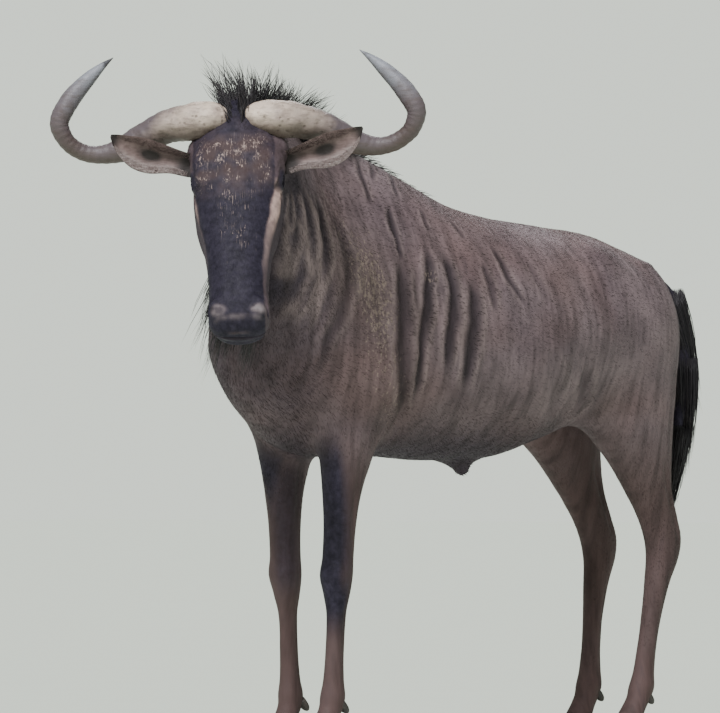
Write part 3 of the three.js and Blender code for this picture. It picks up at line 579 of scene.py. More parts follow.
class SurfaceNet:
    """A closed mesh of quads where a field is zero, one vertex to each grid cell that the surface crosses.

    A vertex is the mean of the crossings on its cell's edges, each at t = Fa / (Fa - Fb) of the way, and is
    then drawn onto the surface by p - F(p) slope / |slope|^2. The field is worked out in full only in blocks
    of BLOCK cells whose middle's distance is below STEEP x the block's half diagonal + SLACK.
    """

    BLOCK = 6
    STEEP, SLACK = 1.9, 14
    CHUNK = 250000

    def __init__(self, shape: Callable[[Array], Array], axes: tuple[Array, Array, Array]) -> None:
        """Args: shape gives a signed distance, axes the grid's stations in x, y and z."""
        self.shape, self.axes = shape, axes
        self.vertices, self.quads = self._cells(self._sample())

    def _sample(self) -> Array:
        """The field on the grid."""
        b = self.BLOCK
        sizes = [len(a) for a in self.axes]
        edges = [np.append(np.arange(0, n - 1, b), n - 1) for n in sizes]
        mids = [(a[e[:-1]] + a[e[1:]]) / 2 for a, e in zip(self.axes, edges)]
        halves = [(a[e[1:]] - a[e[:-1]]) / 2 for a, e in zip(self.axes, edges)]
        grid = np.stack(np.meshgrid(*mids, indexing="ij"), -1).reshape(-1, 3)
        reach = np.sqrt(sum(h**2 for h in np.meshgrid(*halves, indexing="ij"))).reshape(-1)
        centre = self._values(grid)
        active = np.abs(centre) < reach * self.STEEP + self.SLACK
        shape = [len(m) for m in mids]
        block, before = [], []
        for e, n in zip(edges, sizes):
            block.append(np.minimum(np.searchsorted(e, np.arange(n), side="right") - 1, len(e) - 2))
            before.append(np.maximum(np.searchsorted(e, np.arange(n), side="left") - 1, 0))
        far = centre.reshape(shape)[np.ix_(*block)].astype(np.float32)
        live = active.reshape(shape)
        wanted = live[np.ix_(*block)]
        for pick in range(1, 8):
            side = [before[a] if pick >> a & 1 else block[a] for a in range(3)]
            wanted |= live[np.ix_(*side)]
        where = np.nonzero(wanted)
        points = np.stack([self.axes[a][where[a]] for a in range(3)], -1)
        far[where] = self._values(points)
        log.info("field: %d of %d grid points worked out", len(points), far.size)
        return far

    def _values(self, p: Array) -> Array:
        return np.concatenate([self.shape(p[i : i + self.CHUNK]) for i in range(0, len(p), self.CHUNK)])

    def _cells(self, f: Array) -> tuple[Array, Array]:
        inside = f < 0
        n = np.array(f.shape) - 1
        corner = lambda i, j, k: inside[i : n[0] + i, j : n[1] + j, k : n[2] + k]
        total = sum(corner(i, j, k).astype(np.int8) for i in (0, 1) for j in (0, 1) for k in (0, 1))
        cell = np.stack(np.nonzero((total > 0) & (total < 8)), -1)
        ids = np.full(n, -1, np.int32)
        ids[tuple(cell.T)] = np.arange(len(cell))
        points, count = np.zeros((len(cell), 3)), np.zeros(len(cell))
        for axis in range(3):
            others = [a for a in range(3) if a != axis]
            for p in (0, 1):
                for q in (0, 1):
                    a = cell.copy()
                    a[:, others[0]] += p
                    a[:, others[1]] += q
                    b = a.copy()
                    b[:, axis] += 1
                    fa, fb = f[tuple(a.T)], f[tuple(b.T)]
                    cross = (fa < 0) != (fb < 0)
                    t = np.where(cross, fa / np.where(cross, fa - fb, 1), 0)
                    pa = np.stack([self.axes[k][a[:, k]] for k in range(3)], -1)
                    pb = np.stack([self.axes[k][b[:, k]] for k in range(3)], -1)
                    points += np.where(cross[:, None], pa + (pb - pa) * t[:, None], 0)
                    count += cross
        vertices = points / count[:, None]
        quads = []
        for axis in range(3):
            o1, o2 = (axis + 1) % 3, (axis + 2) % 3
            head, tail = [slice(None)] * 3, [slice(None)] * 3
            head[axis], tail[axis] = slice(1, None), slice(None, -1)
            a, b = inside[tuple(tail)], inside[tuple(head)]
            edge = np.stack(np.nonzero(a != b), -1)
            edge = edge[(edge[:, o1] > 0) & (edge[:, o2] > 0) & (edge[:, o1] < n[o1]) & (edge[:, o2] < n[o2])]
            ring = []
            for d1, d2 in ((1, 1), (0, 1), (0, 0), (1, 0)):
                e = edge.copy()
                e[:, o1] -= d1
                e[:, o2] -= d2
                ring.append(ids[tuple(e.T)])
            ring = np.stack(ring, -1)
            out = a[tuple(edge.T)]
            quads.append(np.where(out[:, None], ring, ring[:, ::-1]))
        return vertices, np.concatenate(quads)

    def settle(self, rounds: int, step: float = 0.8, flattest: float = 0.15, furthest: float = 3.0) -> None:
        """Draws each vertex onto the surface, at most so many millimetres a round."""
        for _ in range(rounds):
            p = self.vertices
            value = self._values(p)
            slope = gradient(self._values, p, step)
            size = np.maximum((slope**2).sum(1), flattest)
            move = -(value / size)[:, None] * slope
            length = np.linalg.norm(move, axis=1, keepdims=True)
            self.vertices = p + move * np.minimum(1, furthest / np.maximum(length, 1e-9))


def gradient(values: Callable[[Array], Array], p: Array, step: float) -> Array:
    """The field's slope by differences over 2 x step."""
    out = np.zeros_like(p)
    for axis in range(3):
        shift = np.zeros(3)
        shift[axis] = step
        out[:, axis] = (values(p + shift) - values(p - shift)) / (2 * step)
    return out


def vertex_normals(vertices: Array, quads: Array) -> Array:
    """Area-weighted normals of a quad mesh, from the cross product of each quad's diagonals."""
    a, b, c, d = (vertices[quads[:, k]] for k in range(4))
    face = np.cross(c - a, d - b)
    out = np.zeros_like(vertices)
    for k in range(4):
        for axis in range(3):
            out[:, axis] += np.bincount(quads[:, k], face[:, axis], len(vertices))
    return unit(out)


# The hide's folds, swells and markings.
@dataclass(frozen=True)
class Crease:
    """A fold of the hide: its line on the left side, half width, depth, and how dark it is, the hide's stripe
    with painted shade in the fold.
    """

    line: tuple[Triple, ...]
    width: float
    depth: float
    dark: float
    on_neck: bool = False

    def both(self) -> list[Array]:
        """The line on the left and, mirrored, on the right."""
        here = np.array(self.line, float)
        if self.on_neck:
            u, v, w = NECK_FRAME.local(here)
            return [here, NECK_FRAME.place(u, -v, w)]
        return [here, here * np.array([1.0, -1.0, 1.0])]


# The folds' dark is partly the hide's own stripes and partly painted shade in the valleys; the last two, on
# the flank, are painted shadow of the stifle fold.
CREASES = (
    Crease(
        (
            (237, 176, 1244), (226, 172, 1210), (208, 162, 1156), (201, 152, 1113), (194, 130, 1049),
            (201, 119, 1006), (211, 114, 973), (222, 112, 930),
        ),
        7.5, 7.0, 1.0, True,
    ),
    Crease(((266, 159, 1183), (253, 144, 1134), (243, 126, 1081), (232, 104, 1027)), 8, 5, 0.9, True),
    Crease(((126, 158, 1262), (110, 152, 1200), (102, 150, 1150)), 4.5, 2.5, 0.5, True),
    Crease(((290, 180, 1232), (276, 168, 1190), (262, 152, 1130)), 4.5, 3.5, 0.9, True),
    Crease(
        (
            (170, 167, 1233), (157, 164, 1179), (150, 157, 1120), (158, 145, 1065), (172, 137, 1020),
            (188, 135, 973), (204, 134, 919),
        ),
        8.5, 6, 1.0, True,
    ),
    Crease(((254, 175, 1230), (237, 168, 1199), (225, 160, 1156)), 3.5, 2.5, 0.7, True),
    Crease(((189, 170, 1235), (180, 166, 1190), (178, 160, 1140)), 3, 2, 0.5, True),
    Crease(
        (
            (109, 152, 1213), (85, 148, 1148), (74, 149, 1083), (92, 163, 1029), (120, 168, 963),
            (147, 164, 898), (149, 154, 848),
        ),
        9, 4, 0.6,
    ),
    Crease(((-94, 32, 1315), (-66, 70, 1280), (-61, 96, 1240), (-54, 115, 1207)), 3.5, 1.5, 0.9),
    Crease(((-138, 25, 1310), (-118, 62, 1285), (-96, 84, 1263)), 3.5, 1.5, 0.8),
    Crease(((-205, 20, 1294), (-157, 89, 1254), (-147, 112, 1220)), 3.5, 1.5, 0.8),
    Crease(((-110, 120, 1208), (-100, 140, 1170), (-97, 158, 1124), (-90, 172, 1080)), 4, 3, 0.9),
    Crease(
        (
            (-94, 166, 1100), (-86, 178, 1060), (-74, 192, 998), (-60, 204, 900), (-72, 196, 823),
            (-104, 154, 736),
        ),
        11, 7, 0.75,
    ),
    Crease(
        (
            (-178, 165, 1132), (-173, 178, 1098), (-167, 192, 1061), (-148, 203, 999), (-128, 213, 933),
            (-119, 212, 889), (-116, 203, 828), (-124, 175, 763),
        ),
        6.5, 5, 1.0,
    ),
    Crease(
        (
            (-220, 177, 1110), (-222, 193, 1077), (-223, 207, 1033), (-216, 216, 989), (-201, 224, 938),
            (-193, 223, 890), (-190, 216, 835),
        ),
        7.5, 5.5, 1.0,
    ),
    Crease(
        (
            (-284, 211, 1049), (-279, 222, 1001), (-267, 232, 945), (-258, 231, 895), (-250, 227, 846),
            (-253, 213, 798),
        ),
        8.5, 5, 0.95,
    ),
    Crease(((-326, 197, 1086), (-334, 219, 1035), (-335, 228, 1001), (-337, 235, 973)), 5, 2.5, 0.75),
    Crease(
        (
            (-381, 177, 1125), (-390, 199, 1087), (-394, 220, 1051), (-409, 230, 1020), (-428, 239, 989),
        ),
        4.5, 2.5, 0.8,
    ),
    Crease(((-206, 121, 1206), (-202, 146, 1172), (-211, 159, 1150)), 3.5, 1.5, 0.7),
    Crease(((-289, 135, 1179), (-301, 154, 1156), (-306, 171, 1134)), 3.5, 1.5, 0.6),
    Crease(((-470, 200, 1095), (-486, 228, 1040), (-500, 244, 985)), 6, 2, 0.4),
    Crease(((-483, 250, 904), (-520, 240, 840), (-556, 214, 775), (-600, 190, 735)), 13, 4, 0.25),
    Crease(((-640, 230, 860), (-668, 220, 800), (-690, 200, 745), (-722, 170, 690)), 11, 7, 0.4),
)


@dataclass(frozen=True)
class Swell:
    """A rise, or where negative a hollow, of the flank: its middle from the side and its half lengths."""

    x: float
    z: float
    long: float
    tall: float
    height: float


SWELLS = (
    Swell(15, 985, 80, 150, 8),
    Swell(-25, 800, 60, 80, 9),
    Swell(-130, 900, 30, 170, -6),
    Swell(150, 900, 45, 90, -5),
    Swell(-640, 1035, 80, 75, -9),
    Swell(-765, 1105, 50, 34, 8),
    Swell(-905, 880, 95, 150, 6),
    Swell(-620, 800, 60, 90, -5),
    Swell(-1020, 1060, 50, 40, 4),
)


def along_line(p: Array, line: Array) -> tuple[Array, Array, Array]:
    """Distance to a line of points, with y counted half, the share of the way along it, and whether ahead."""
    scale = np.array([1.0, 0.5, 1.0])
    points, q = line * scale, p * scale
    lengths = np.linalg.norm(np.diff(points, axis=0), axis=1)
    starts = np.append(0, np.cumsum(lengths))
    best, share, ahead = np.full(len(p), FAR), np.zeros(len(p)), np.zeros(len(p), bool)
    for a, b, start, length in zip(points[:-1], points[1:], starts, lengths):
        ab = b - a
        t, d = to_segment(q, a, b)
        closer = d < best
        best = np.where(closer, d, best)
        share = np.where(closer, (start + t * length) / starts[-1], share)
        ahead = np.where(closer, ab[0] * (q - a)[:, 2] > ab[2] * (q - a)[:, 0], ahead)
    return best, share, ahead


def creases(p: Array) -> tuple[Array, Array, Array]:
    """The folds at points.

    With d the distance to a fold's line and w its half width, the shade falls off smoothly over 3 w, sooner
    ahead of the line than behind it, the relief is -depth e^(-(d/w)^2) + 0.4 depth e^(-((d - 2.4 w)/w)^2), and
    the ridge is e^(-((d - 2.5 w)/(0.75 w))^2), weaker off the neck. All three fade at the line's ends. The
    shade is the hide's dark stripe with painted shade in the fold, kept sharp ahead, on the side the light
    comes from; the ridge is a painted highlight on the fold's lip.

    Args:
        p: points in the row frame.

    Returns:
        The painted shade from 0 to 1, the relief in millimetres, and the painted highlight of the ridge from 0
        to 1.
    """
    shade, relief, ridge = (np.zeros(len(p)) for _ in range(3))
    sideways = np.array([1.0, 2.0, 1.0])
    bent = p + np.stack([4.5 * noise(p, 34, 61) + 1.5 * noise(p, 11, 62), 0 * p[:, 0], 0 * p[:, 0]], -1)
    for crease in CREASES:
        reach = 5 * crease.width + 12
        for line in crease.both():
            low, high = line.min(0) - reach * sideways, line.max(0) + reach * sideways
            near = np.flatnonzero(np.all((p > low) & (p < high), axis=1))
            if not len(near):
                continue
            d, t, ahead = along_line(bent[near], line)
            w = crease.width * (0.85 + 0.45 * np.sin(math.pi * t) + 0.25 * noise(p[near], 60, 63))
            taper = smooth(t, 0, 0.16) * until(t, 0.82, 1)
            lip = bell(d - 2.4 * w, w) * taper
            # Painted shade in the fold with the hide's stripe, sharper ahead, on the side the light comes
            # from.
            fade = until(d * np.where(ahead, 1.25, 0.85) / w, 0.1, 2.9)
            shade[near] = np.maximum(shade[near], fade * crease.dark * (0.25 + 0.75 * taper))
            relief[near] += crease.depth * (0.4 * lip - bell(d, w) * taper)
            # The painted highlight on the fold's lip.
            crest = bell(d - 2.5 * w, 0.75 * w) * taper * (1.0 if crease.on_neck else 0.7)
            ridge[near] = np.maximum(ridge[near], crest * crease.dark)
    return shade, relief, ridge


# Regions and the lie of the coat.
class Region(Enum):
    """The charts of the skin's unwrap."""

    TORSO = 0
    NECK = 1
    HEAD = 2
    FORELEG_LEFT = 3
    FORELEG_RIGHT = 4
    HINDLEG_LEFT = 5
    HINDLEG_RIGHT = 6
    TAIL = 7


@dataclass
class Anatomy:
    """Which part of the animal each skin point belongs to, and its place in that part's frame."""

    torso: Loft = field(default_factory=lambda: Loft(WORLD, TORSO))
    neck: Loft = field(default_factory=lambda: Loft(NECK_FRAME, NECK))
    skull: Loft = field(default_factory=lambda: Loft(HEAD, SKULL))
    jaw: Loft = field(default_factory=lambda: Loft(HEAD, JAW))
    legs: list[Loft] = field(
        default_factory=lambda: [Loft(leg_frame(leg[1]), leg_rows(leg)) for leg in LEGS.values()]
    )
    dock: Tube = field(default_factory=lambda: Tube.of(spread(TAIL, DOCK_STEPS)))

    def distances(self, p: Array) -> Array:
        """Distance to each region's own shape, one column a region; a leg's grows above its elbow."""
        torso, neck, dock = (shape.distance(p) for shape in (self.torso, self.neck, self.dock))
        head = np.minimum(self.skull.distance(p), self.jaw.distance(p))
        legs = [loft.distance(p) + 0.9 * np.maximum(0, p[:, 2] - 700) for loft in self.legs]
        return np.stack([torso, neck, head, *legs, dock], -1)

    def weights(self, p: Array, softness: float = 22.0) -> Array:
        """How much each region holds at points: exp(-distance / softness), made to sum to 1."""
        d = self.distances(p)
        w = np.exp(-np.clip(d - d.min(1, keepdims=True), 0, 400) / softness)
        return w / w.sum(1, keepdims=True)

    def unwrap(self, p: Array, region: Array) -> Array:
        """The skin's unwrap: each region is a cell of a 4 x 2 sheet, station across and turn upward."""
        tail = Frame(np.array([-1190, 30, 760.0]), -UP, LEFT, np.array([1.0, 0, 0]))
        frames = [WORLD, NECK_FRAME, HEAD, *[leg.at for leg in self.legs], tail]
        ends = [self.torso.ends, self.neck.ends, self.skull.ends, *[(0, 1000)] * 4, (-300, 300)]
        middle = [930, 0, -20, 0, 0, -990, -1000, 0]
        uv = np.zeros((len(p), 2))
        for r in range(len(frames)):
            pick = region == r
            if not pick.any():
                continue
            u, v, w = frames[r].local(p[pick])
            along = np.clip((u - ends[r][0]) / (ends[r][1] - ends[r][0]), 0, 1)
            turn = (np.arctan2(v, w - middle[r]) / (2 * math.pi)) % 1
            uv[pick, 0] = (r % 4 + 0.03 + 0.94 * along) / 4
            uv[pick, 1] = (r // 4 + 0.03 + 0.94 * turn) / 2
        return uv


def grouped(weights: Array) -> tuple[Array, Array, Array, Array]:
    """The weights of torso, neck and head, and the sum of the legs'."""
    return weights[:, 0], weights[:, 1], weights[:, 2], weights[:, 3:7].sum(1)


def fall(p: Array, normals: Array, weights: Array) -> Array:
    """The lie of the coat: back and down on the body, down the legs, up the face, back down the neck."""
    body = np.tile([-1.0, 0, -0.38], (len(p), 1))
    body[:, 2] -= 0.5 * smooth(-p[:, 0], 850, 1150)
    neck = np.tile(unit(-NECK_AXIS * 0.75 + np.array([0, 0, -0.75])), (len(p), 1))
    u, v, w = HEAD.local(p)
    head = np.tile(-HEAD.along, (len(p), 1)) + np.sign(v)[:, None] * HEAD.side * 0.25
    head = head - HEAD.rise * (smooth(-w, 20, 80) * 0.6)[:, None]
    leg = np.tile([0.0, 0, -1.0], (len(p), 1))
    out = (
        body * weights[:, 0:1]
        + neck * weights[:, 1:2]
        + head * weights[:, 2:3]
        + leg * weights[:, 3:8].sum(1, keepdims=True)
    )
    sway = np.stack([noise(p, 70, 31), noise(p, 70, 32), noise(p, 70, 33)], -1) * 0.25
    out = out + sway
    return unit(out - (out * normals).sum(1, keepdims=True) * normals)


# The black plate of the face: station, half width; and how far its middle lies to the right.
PLATE_EDGE = [
    [-60, 60], [20, 84], [100, 90], [160, 88], [190, 86], [218, 80], [243, 77], [279, 71], [327, 64],
    [375, 59], [430, 62], [530, 64],
]
PLATE_SHIFT = 7.0
# The pale pad by a nostril, in the head's frame: its middle and its half lengths.
PAD_AT, PAD_HALF = (487, 43, 44), (11, 15, 19)


@dataclass(frozen=True)
class Marks:
    """Two sets of four masks a point: black, tan, brown, fold; and mud, speckle, pale muzzle, ridge. The black
    holds painted shade too, the fold is the stripe with painted shade, the ridge a painted highlight.
    """

    coat: Array
    zones: Array


def face_marks(p: Array, head: Array) -> tuple[Array, Array, Array, Array, Array]:
    """The face's masks: black, tan, brown, speckle and pale muzzle; black holds painted shade on the lower
    cheek, in the nostrils and along the mouth, and tan a faint painted highlight on the lip.

    Args:
        p: points in the row frame.
        head: the head's weight at each.

    Returns:
        The five masks, from 0 to 1.
    """
    u, v, w = HEAD.local(p)
    across = np.abs(v)
    rough, patch = noise(p, 26, 5), np.clip(0.5 + 1.3 * noise(p, 22, 9), 0, 1)
    edge = np.interp(u, *np.array(PLATE_EDGE).T)
    out = np.abs(v + PLATE_SHIFT) - edge - 2.5 * rough
    top = smooth(w, -32, -8)
    plate = until(out, -3, 3) * top
    black = head * np.maximum(plate, 0.50)
    level = smooth(w - np.interp(u, [180, 240, 340], [0, 2, 11]), 12, 27)
    length = smooth(u, 168, 188) * (1 - 0.75 * smooth(u, 235, 310)) * until(u, 340, 400)
    side = smooth(out, -1, 4) * length * level
    tan = head * side * np.clip(0.9 + 0.6 * noise(p, 9, 8), 0.35, 1)
    black = black * (1 - 0.9 * side)
    # Painted shade on the side of the head below the pale stripe, where it turns away from the light.
    cheek = smooth(u, 185, 215) * (1 - level) * smooth(across, 40, 60)
    black = np.maximum(black, 0.72 * head * cheek * until(u, 430, 470))
    forehead = smooth(u, 45, 90) * until(u, 150, 235) * smooth(w, 0, 30) * until(out, -20, 4)
    brown = head * forehead * np.clip(0.35 + 0.9 * patch, 0, 1)
    black = black * (1 - forehead * np.clip(0.10 + 0.62 * patch, 0, 1))
    crown = until(u, 52, 96) * until(across, 40, 72) * smooth(w, 5, 26)
    black = np.maximum(black, crown * (1 - 0.12 * patch))
    centre = smooth(u, 60, 110) * until(u, 300, 420) * until(across, 26, 50)
    clump = np.clip(0.42 + 1.5 * noise(p, 15, 12), 0, 1)
    speckle = head * np.maximum(forehead * np.clip(0.15 + clump, 0, 1), 0.75 * centre * clump)
    eye = np.hypot(np.hypot(u - EYE_AT[0], (w - EYE_AT[2]) * 1.15), (across - EYE_AT[1]) * 0.8)
    rim = until(eye, 24, 36)
    black = np.maximum(black, head * rim)
    tan, brown = tan * (1 - rim), brown * (1 - rim)
    gaps = [(q - m) / h for q, m, h in zip((u, across, w), PAD_AT, PAD_HALF)]
    pale = np.exp(-(sum(g**2 for g in gaps) ** 1.6)) * np.clip(0.8 + 0.9 * noise(p, 8, 10), 0.25, 1)
    lip = bell(u - 501, 5) * smooth(w, 10, 24) * until(across, 46, 58)
    pale = head * np.maximum(pale, 0.34 * lip * np.clip(0.7 + 1.2 * noise(p, 12, 11), 0.2, 1))
    # A faint painted highlight on the upper lip's lower rim.
    rimmed = bell(w - mouth_level(u) - 20, 3.5) * smooth(u, 505, 520) * until(across, 12, 30)
    tan = np.maximum(tan, head * 0.07 * rimmed)
    # Painted shade in the nostrils, along the mouth line and under the lower lip, with the nose's own black
    # pad.
    dark = smooth(-beside(u, v, w, NOSTRIL[:, :3]), -10, -5.5)
    dark = np.maximum(dark, bell(w - mouth_level(u), 3.6) * smooth(u, 372, 402))
    dark = np.maximum(dark, smooth(u, 436, 456) * until(u, 486, 497) * until(across, 15, 28) * (w > 0))
    dark = np.maximum(dark, smooth(mouth_level(u) - w, 1, 7) * smooth(u, 380, 430))
    black = np.maximum(black * (1 - 0.85 * pale), head * dark)
    pale, tan = pale * (1 - dark), tan * (1 - dark)
    black = np.maximum(black, 0.8 * head * smooth(-w, 70, 120))
    return black, tan, brown, speckle, pale


def neck_shade(p: Array) -> Array:
    """The dark of the neck's side close behind the cheek: painted shadow of the head."""
    x, _, z = p.T
    close = smooth(x, 200, 255) * smooth(z, 930, 1010) * until(z, 1250, 1320)
    return np.maximum(close, 0.5 * smooth(x, 110, 215) * smooth(z, 900, 1010) * until(z, 1270, 1350))


# Each patch of dried mud is: its middle forward and up, its half lengths, and how thick it lies.
MUD = (
    (15, 1035, 62, 80, 1.0),
    (0, 900, 62, 110, 0.72),
    (-60, 760, 60, 70, 0.55),
    (-164, 1050, 26, 24, 0.85),
    (90, 1150, 110, 90, 0.45),
    (-305, 850, 40, 60, 0.35),
)


def markings(p: Array, weights: Array) -> Marks:
    """The coat's masks at points; the black one also holds painted shade under the trunk, on the chest and on
    the neck behind the head.
    """
    body, neck, head, legs = grouped(weights)
    trunk = body + neck
    black, tan, brown, speckle, pale = face_marks(p, head)
    fold, _, ridge = creases(p)
    x, y, z = p.T
    left = 0.35 + 0.65 * (y > 0)
    mud = sum(amount * blot(x - at, wide, z - high, tall) for at, high, wide, tall, amount in MUD)
    mud += 0.35 * smooth(-x, 980, 1110) * smooth(z, 850, 950)
    mud = trunk * np.clip(mud * left + 0.10, 0, 1)
    warm = blot(x - 20, 110, z - 1030, 170)
    brown = np.maximum(brown, trunk * 0.55 * warm)
    brown = np.maximum(brown, legs * smooth(-z, -800, -560) * 0.9)
    brown = np.maximum(brown, 0.55 * trunk * smooth(-z, -880, -640))
    brown = np.maximum(brown, 0.75 * body * smooth(-x, 1020, 1120))
    # Darker lower trunk: partly the hair's colour, partly painted shade on the underside.
    belly = trunk * smooth(-z, -770, -650) * 0.75
    inner = legs * smooth(z, 320, 400) * until(z, 600, 700) * smooth(104 - np.abs(y), -8, 22)
    inner = inner * smooth(x, -60, 10)
    off_middle = np.abs(y - np.interp(x, [-400, 70, 360], [0, 0, 120]))
    crest = trunk * until(off_middle, 10, 30) * smooth(z, 1150, 1230)
    # Darker chest below the neck: partly dark hair, partly painted shade.
    throat = trunk * smooth(x, 60, 190) * smooth(-z, -1000, -880) * smooth(z, 700, 800) * 0.45
    # Painted shadow of the head on the neck below the jaw, partly dark hair there, and the neck's painted
    # shade behind the cheek, lighter on the folds' lips.
    shadow_and_dark_hair = blot(x - 205, 62, z - 1040, 120) * smooth(np.abs(y), 30, 80)
    shadow_and_dark_hair = np.maximum(shadow_and_dark_hair, neck_shade(p)) * 0.76 * (trunk + 0.5 * head) * (1 - 0.95 * ridge)
    shin = legs * smooth(x, 16, 44) * smooth(z, 240, 330) * until(z, 640, 760) * until(y, 128, 150)
    for more in (belly, 0.6 * inner, 0.85 * crest * smooth(x, -420, -180), throat, shadow_and_dark_hair, shin, weights[:, 7]):
        black = np.maximum(black, more)
    # The fourth number is the folds' painted shade with the hide's stripes.
    coat = np.clip(np.stack([black, tan, brown, fold * np.maximum(trunk, 0.6)], -1), 0, 1)
    # The zones' fourth number is the painted highlight on the folds' lips.
    return Marks(coat, np.clip(np.stack([mud, speckle, pale, ridge * trunk], -1), 0, 1))


def leg_relief(p: Array, normals: Array, weights: Array) -> Array:
    """Hollows between bone and tendon on both sides of the legs: -depth e^(-((x - line) / width)^2)."""
    out = np.zeros(len(p))
    for number, leg in enumerate(LEGS.values()):
        pick = np.flatnonzero(weights[:, 3 + number] > 0.3)
        if not len(pick):
            continue
        q = p[pick]
        rows = row_at(leg_rows(leg), np.clip(q[:, 2], CORONET, 1080))
        ahead = q[:, 0] - rows[:, 3]
        level = np.abs(normals[pick, 1]) ** 2
        z = q[:, 2]
        if leg[0] == "fore":
            cannon = smooth(z, 150, 190) * until(z, 300, 350)
            line, width, depth = -9.0, 5.0, 3.2
            muscle = smooth(z, 470, 540) * until(z, 640, 720)
            high = -2.6 * muscle * bell(ahead + 6, 7)
        else:
            cannon = smooth(z, 150, 200) * until(z, 350, 410)
            line, width, depth = -11.0, 5.5, 3.2
            sinew = smooth(z, 455, 500) * until(z, 590, 680)
            high = -8.0 * sinew * bell(ahead + 30 + 0.05 * (z - 500), 11)
        knee = np.where(z > 335, bell(z - 395, 26), 0) * (0.8 if leg[0] == "fore" else 0.2)
        moved = level * (high - depth * cannon * bell(ahead - line, width)) + knee * (normals[pick, 0] > 0)
        out[pick] += weights[pick, 3 + number] * moved
    return out


def skin_relief(p: Array, normals: Array, weights: Array) -> Array:
    """How far the skin stands in or out, in millimetres: folds, muscle, tendons and small unevenness."""
    body, neck, head, legs = grouped(weights)
    _, folds, _ = creases(p)
    out = (body + neck) * (1.5 * noise(p, 130, 41) + 0.8 * noise(p, 52, 42) + folds)
    side = smooth(np.abs(p[:, 1]), 50, 110)
    for swell in SWELLS:
        risen = blot(p[:, 0] - swell.x, swell.long, p[:, 2] - swell.z, swell.tall)
        out += swell.height * risen * side * (body + neck + 0.8 * legs)
    out += legs * 0.7 * noise(p * np.array([1, 1, 0.35]), 20, 43) + leg_relief(p, normals, weights)
    u, v, w = HEAD.local(p)
    knobs = smooth(u, -40, 20) * until(u, 150, 260) * smooth(w, 0, 20)
    crown = until(u, 12, 40) * until(np.abs(v), 22, 36) * smooth(w, 10, 30)
    out += head * (0.6 * noise(p, 24, 44) + 1.2 * knobs * noise(p, 9, 45) + 2.2 * crown * noise(p, 10, 46))
    wrinkle = smooth(u, 395, 430) * until(u, 500, 520) * smooth(np.abs(v), 35, 55)
    out += head * 0.5 * wrinkle * np.sin(u / 3.4 + 2 * noise(p, 20, 47))
    return out


# Meshes.
@dataclass
class Place:
    """Turns the row frame's millimetres into the part's metres."""

    shift: Array

    @staticmethod
    def found() -> Place:
        """The shift that lays both eyes' centres on those of the solids."""
        middles = [np.mean([np.array(corner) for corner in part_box(f"eye_{side}")], axis=0) for side in SIDES]
        return Place(np.mean(middles, axis=0) - HEAD.place(EYE_AT[0], 0, EYE_AT[2]) / 1000)

    def metres(self, p: Array) -> Array:
        """Points in metres."""
        return p / 1000 + self.shift


def make_object(
    name: str, vertices: Array, faces: Array, material: Material, smooth_faces: bool = True
) -> Object:
    """A mesh object at the origin from vertices in metres and faces that all have as many corners."""
    mesh = bpy.data.meshes.new(name)
    sides = faces.shape[1]
    mesh.vertices.add(len(vertices))
    mesh.vertices.foreach_set("co", np.ascontiguousarray(vertices, np.float32).ravel())
    mesh.loops.add(faces.size)
    mesh.loops.foreach_set("vertex_index", np.ascontiguousarray(faces, np.int32).ravel())
    mesh.polygons.add(len(faces))
    mesh.polygons.foreach_set("loop_start", np.arange(0, faces.size, sides, dtype=np.int32))
    mesh.polygons.foreach_set("loop_total", np.full(len(faces), sides, np.int32))
    mesh.polygons.foreach_set("use_smooth", np.full(len(faces), smooth_faces))
    mesh.update(calc_edges=True)
    mesh.validate()
    mesh.materials.append(material)
    made = bpy.data.objects.new(name, mesh)
    bpy.context.scene.collection.objects.link(made)
    return made


def set_colours(made: Object, name: str, values: Array) -> None:
    """Stores four numbers a vertex as a colour attribute."""
    layer = made.data.color_attributes.new(name, "FLOAT_COLOR", "POINT")
    layer.data.foreach_set("color", np.ascontiguousarray(values, np.float32).ravel())


def set_uv(made: Object, name: str, values: Array) -> None:
    """Stores a UV map from one pair a vertex."""
    layer = made.data.uv_layers.new(name=name)
    corner = np.empty(len(made.data.loops), np.int32)
    made.data.loops.foreach_get("vertex_index", corner)
    layer.data.foreach_set("uv", np.ascontiguousarray(values[corner], np.float32).ravel())


def thinned(vertices: Array, quads: Array, most: int) -> tuple[Array, Array]:
    """A mesh brought down to so many triangles by collapsing the edges that matter least.

    Args:
        vertices: points, in any unit.
        quads: the faces.
        most: the triangles to keep.

    Returns:
        The remaining vertices and triangles.
    """
    material = bpy.data.materials.new("spare")
    made = make_object("spare", vertices, quads, material)
    modifier = made.modifiers.new("thin", "DECIMATE")
    modifier.ratio = min(1.0, most / (2 * len(quads)))
    modifier.use_collapse_triangulate = True
    mesh = made.evaluated_get(bpy.context.evaluated_depsgraph_get()).to_mesh()
    mesh.calc_loop_triangles()
    points = np.empty(3 * len(mesh.vertices), np.float32)
    mesh.vertices.foreach_get("co", points)
    corners = np.empty(3 * len(mesh.loop_triangles), np.int32)
    mesh.loop_triangles.foreach_get("vertices", corners)
    bpy.data.meshes.remove(made.data)
    bpy.data.materials.remove(material)
    return points.reshape(-1, 3).astype(float), corners.reshape(-1, 3)


def ring_faces(rings: int, sides: int) -> Array:
    """Quads between rings of points, as vertex numbers."""
    i = np.arange(rings - 1)[:, None] * sides
    j = np.arange(sides)[None, :]
    k = (j + 1) % sides
    return np.stack([i + j, i + k, i + sides + k, i + sides + j], -1).reshape(-1, 4)


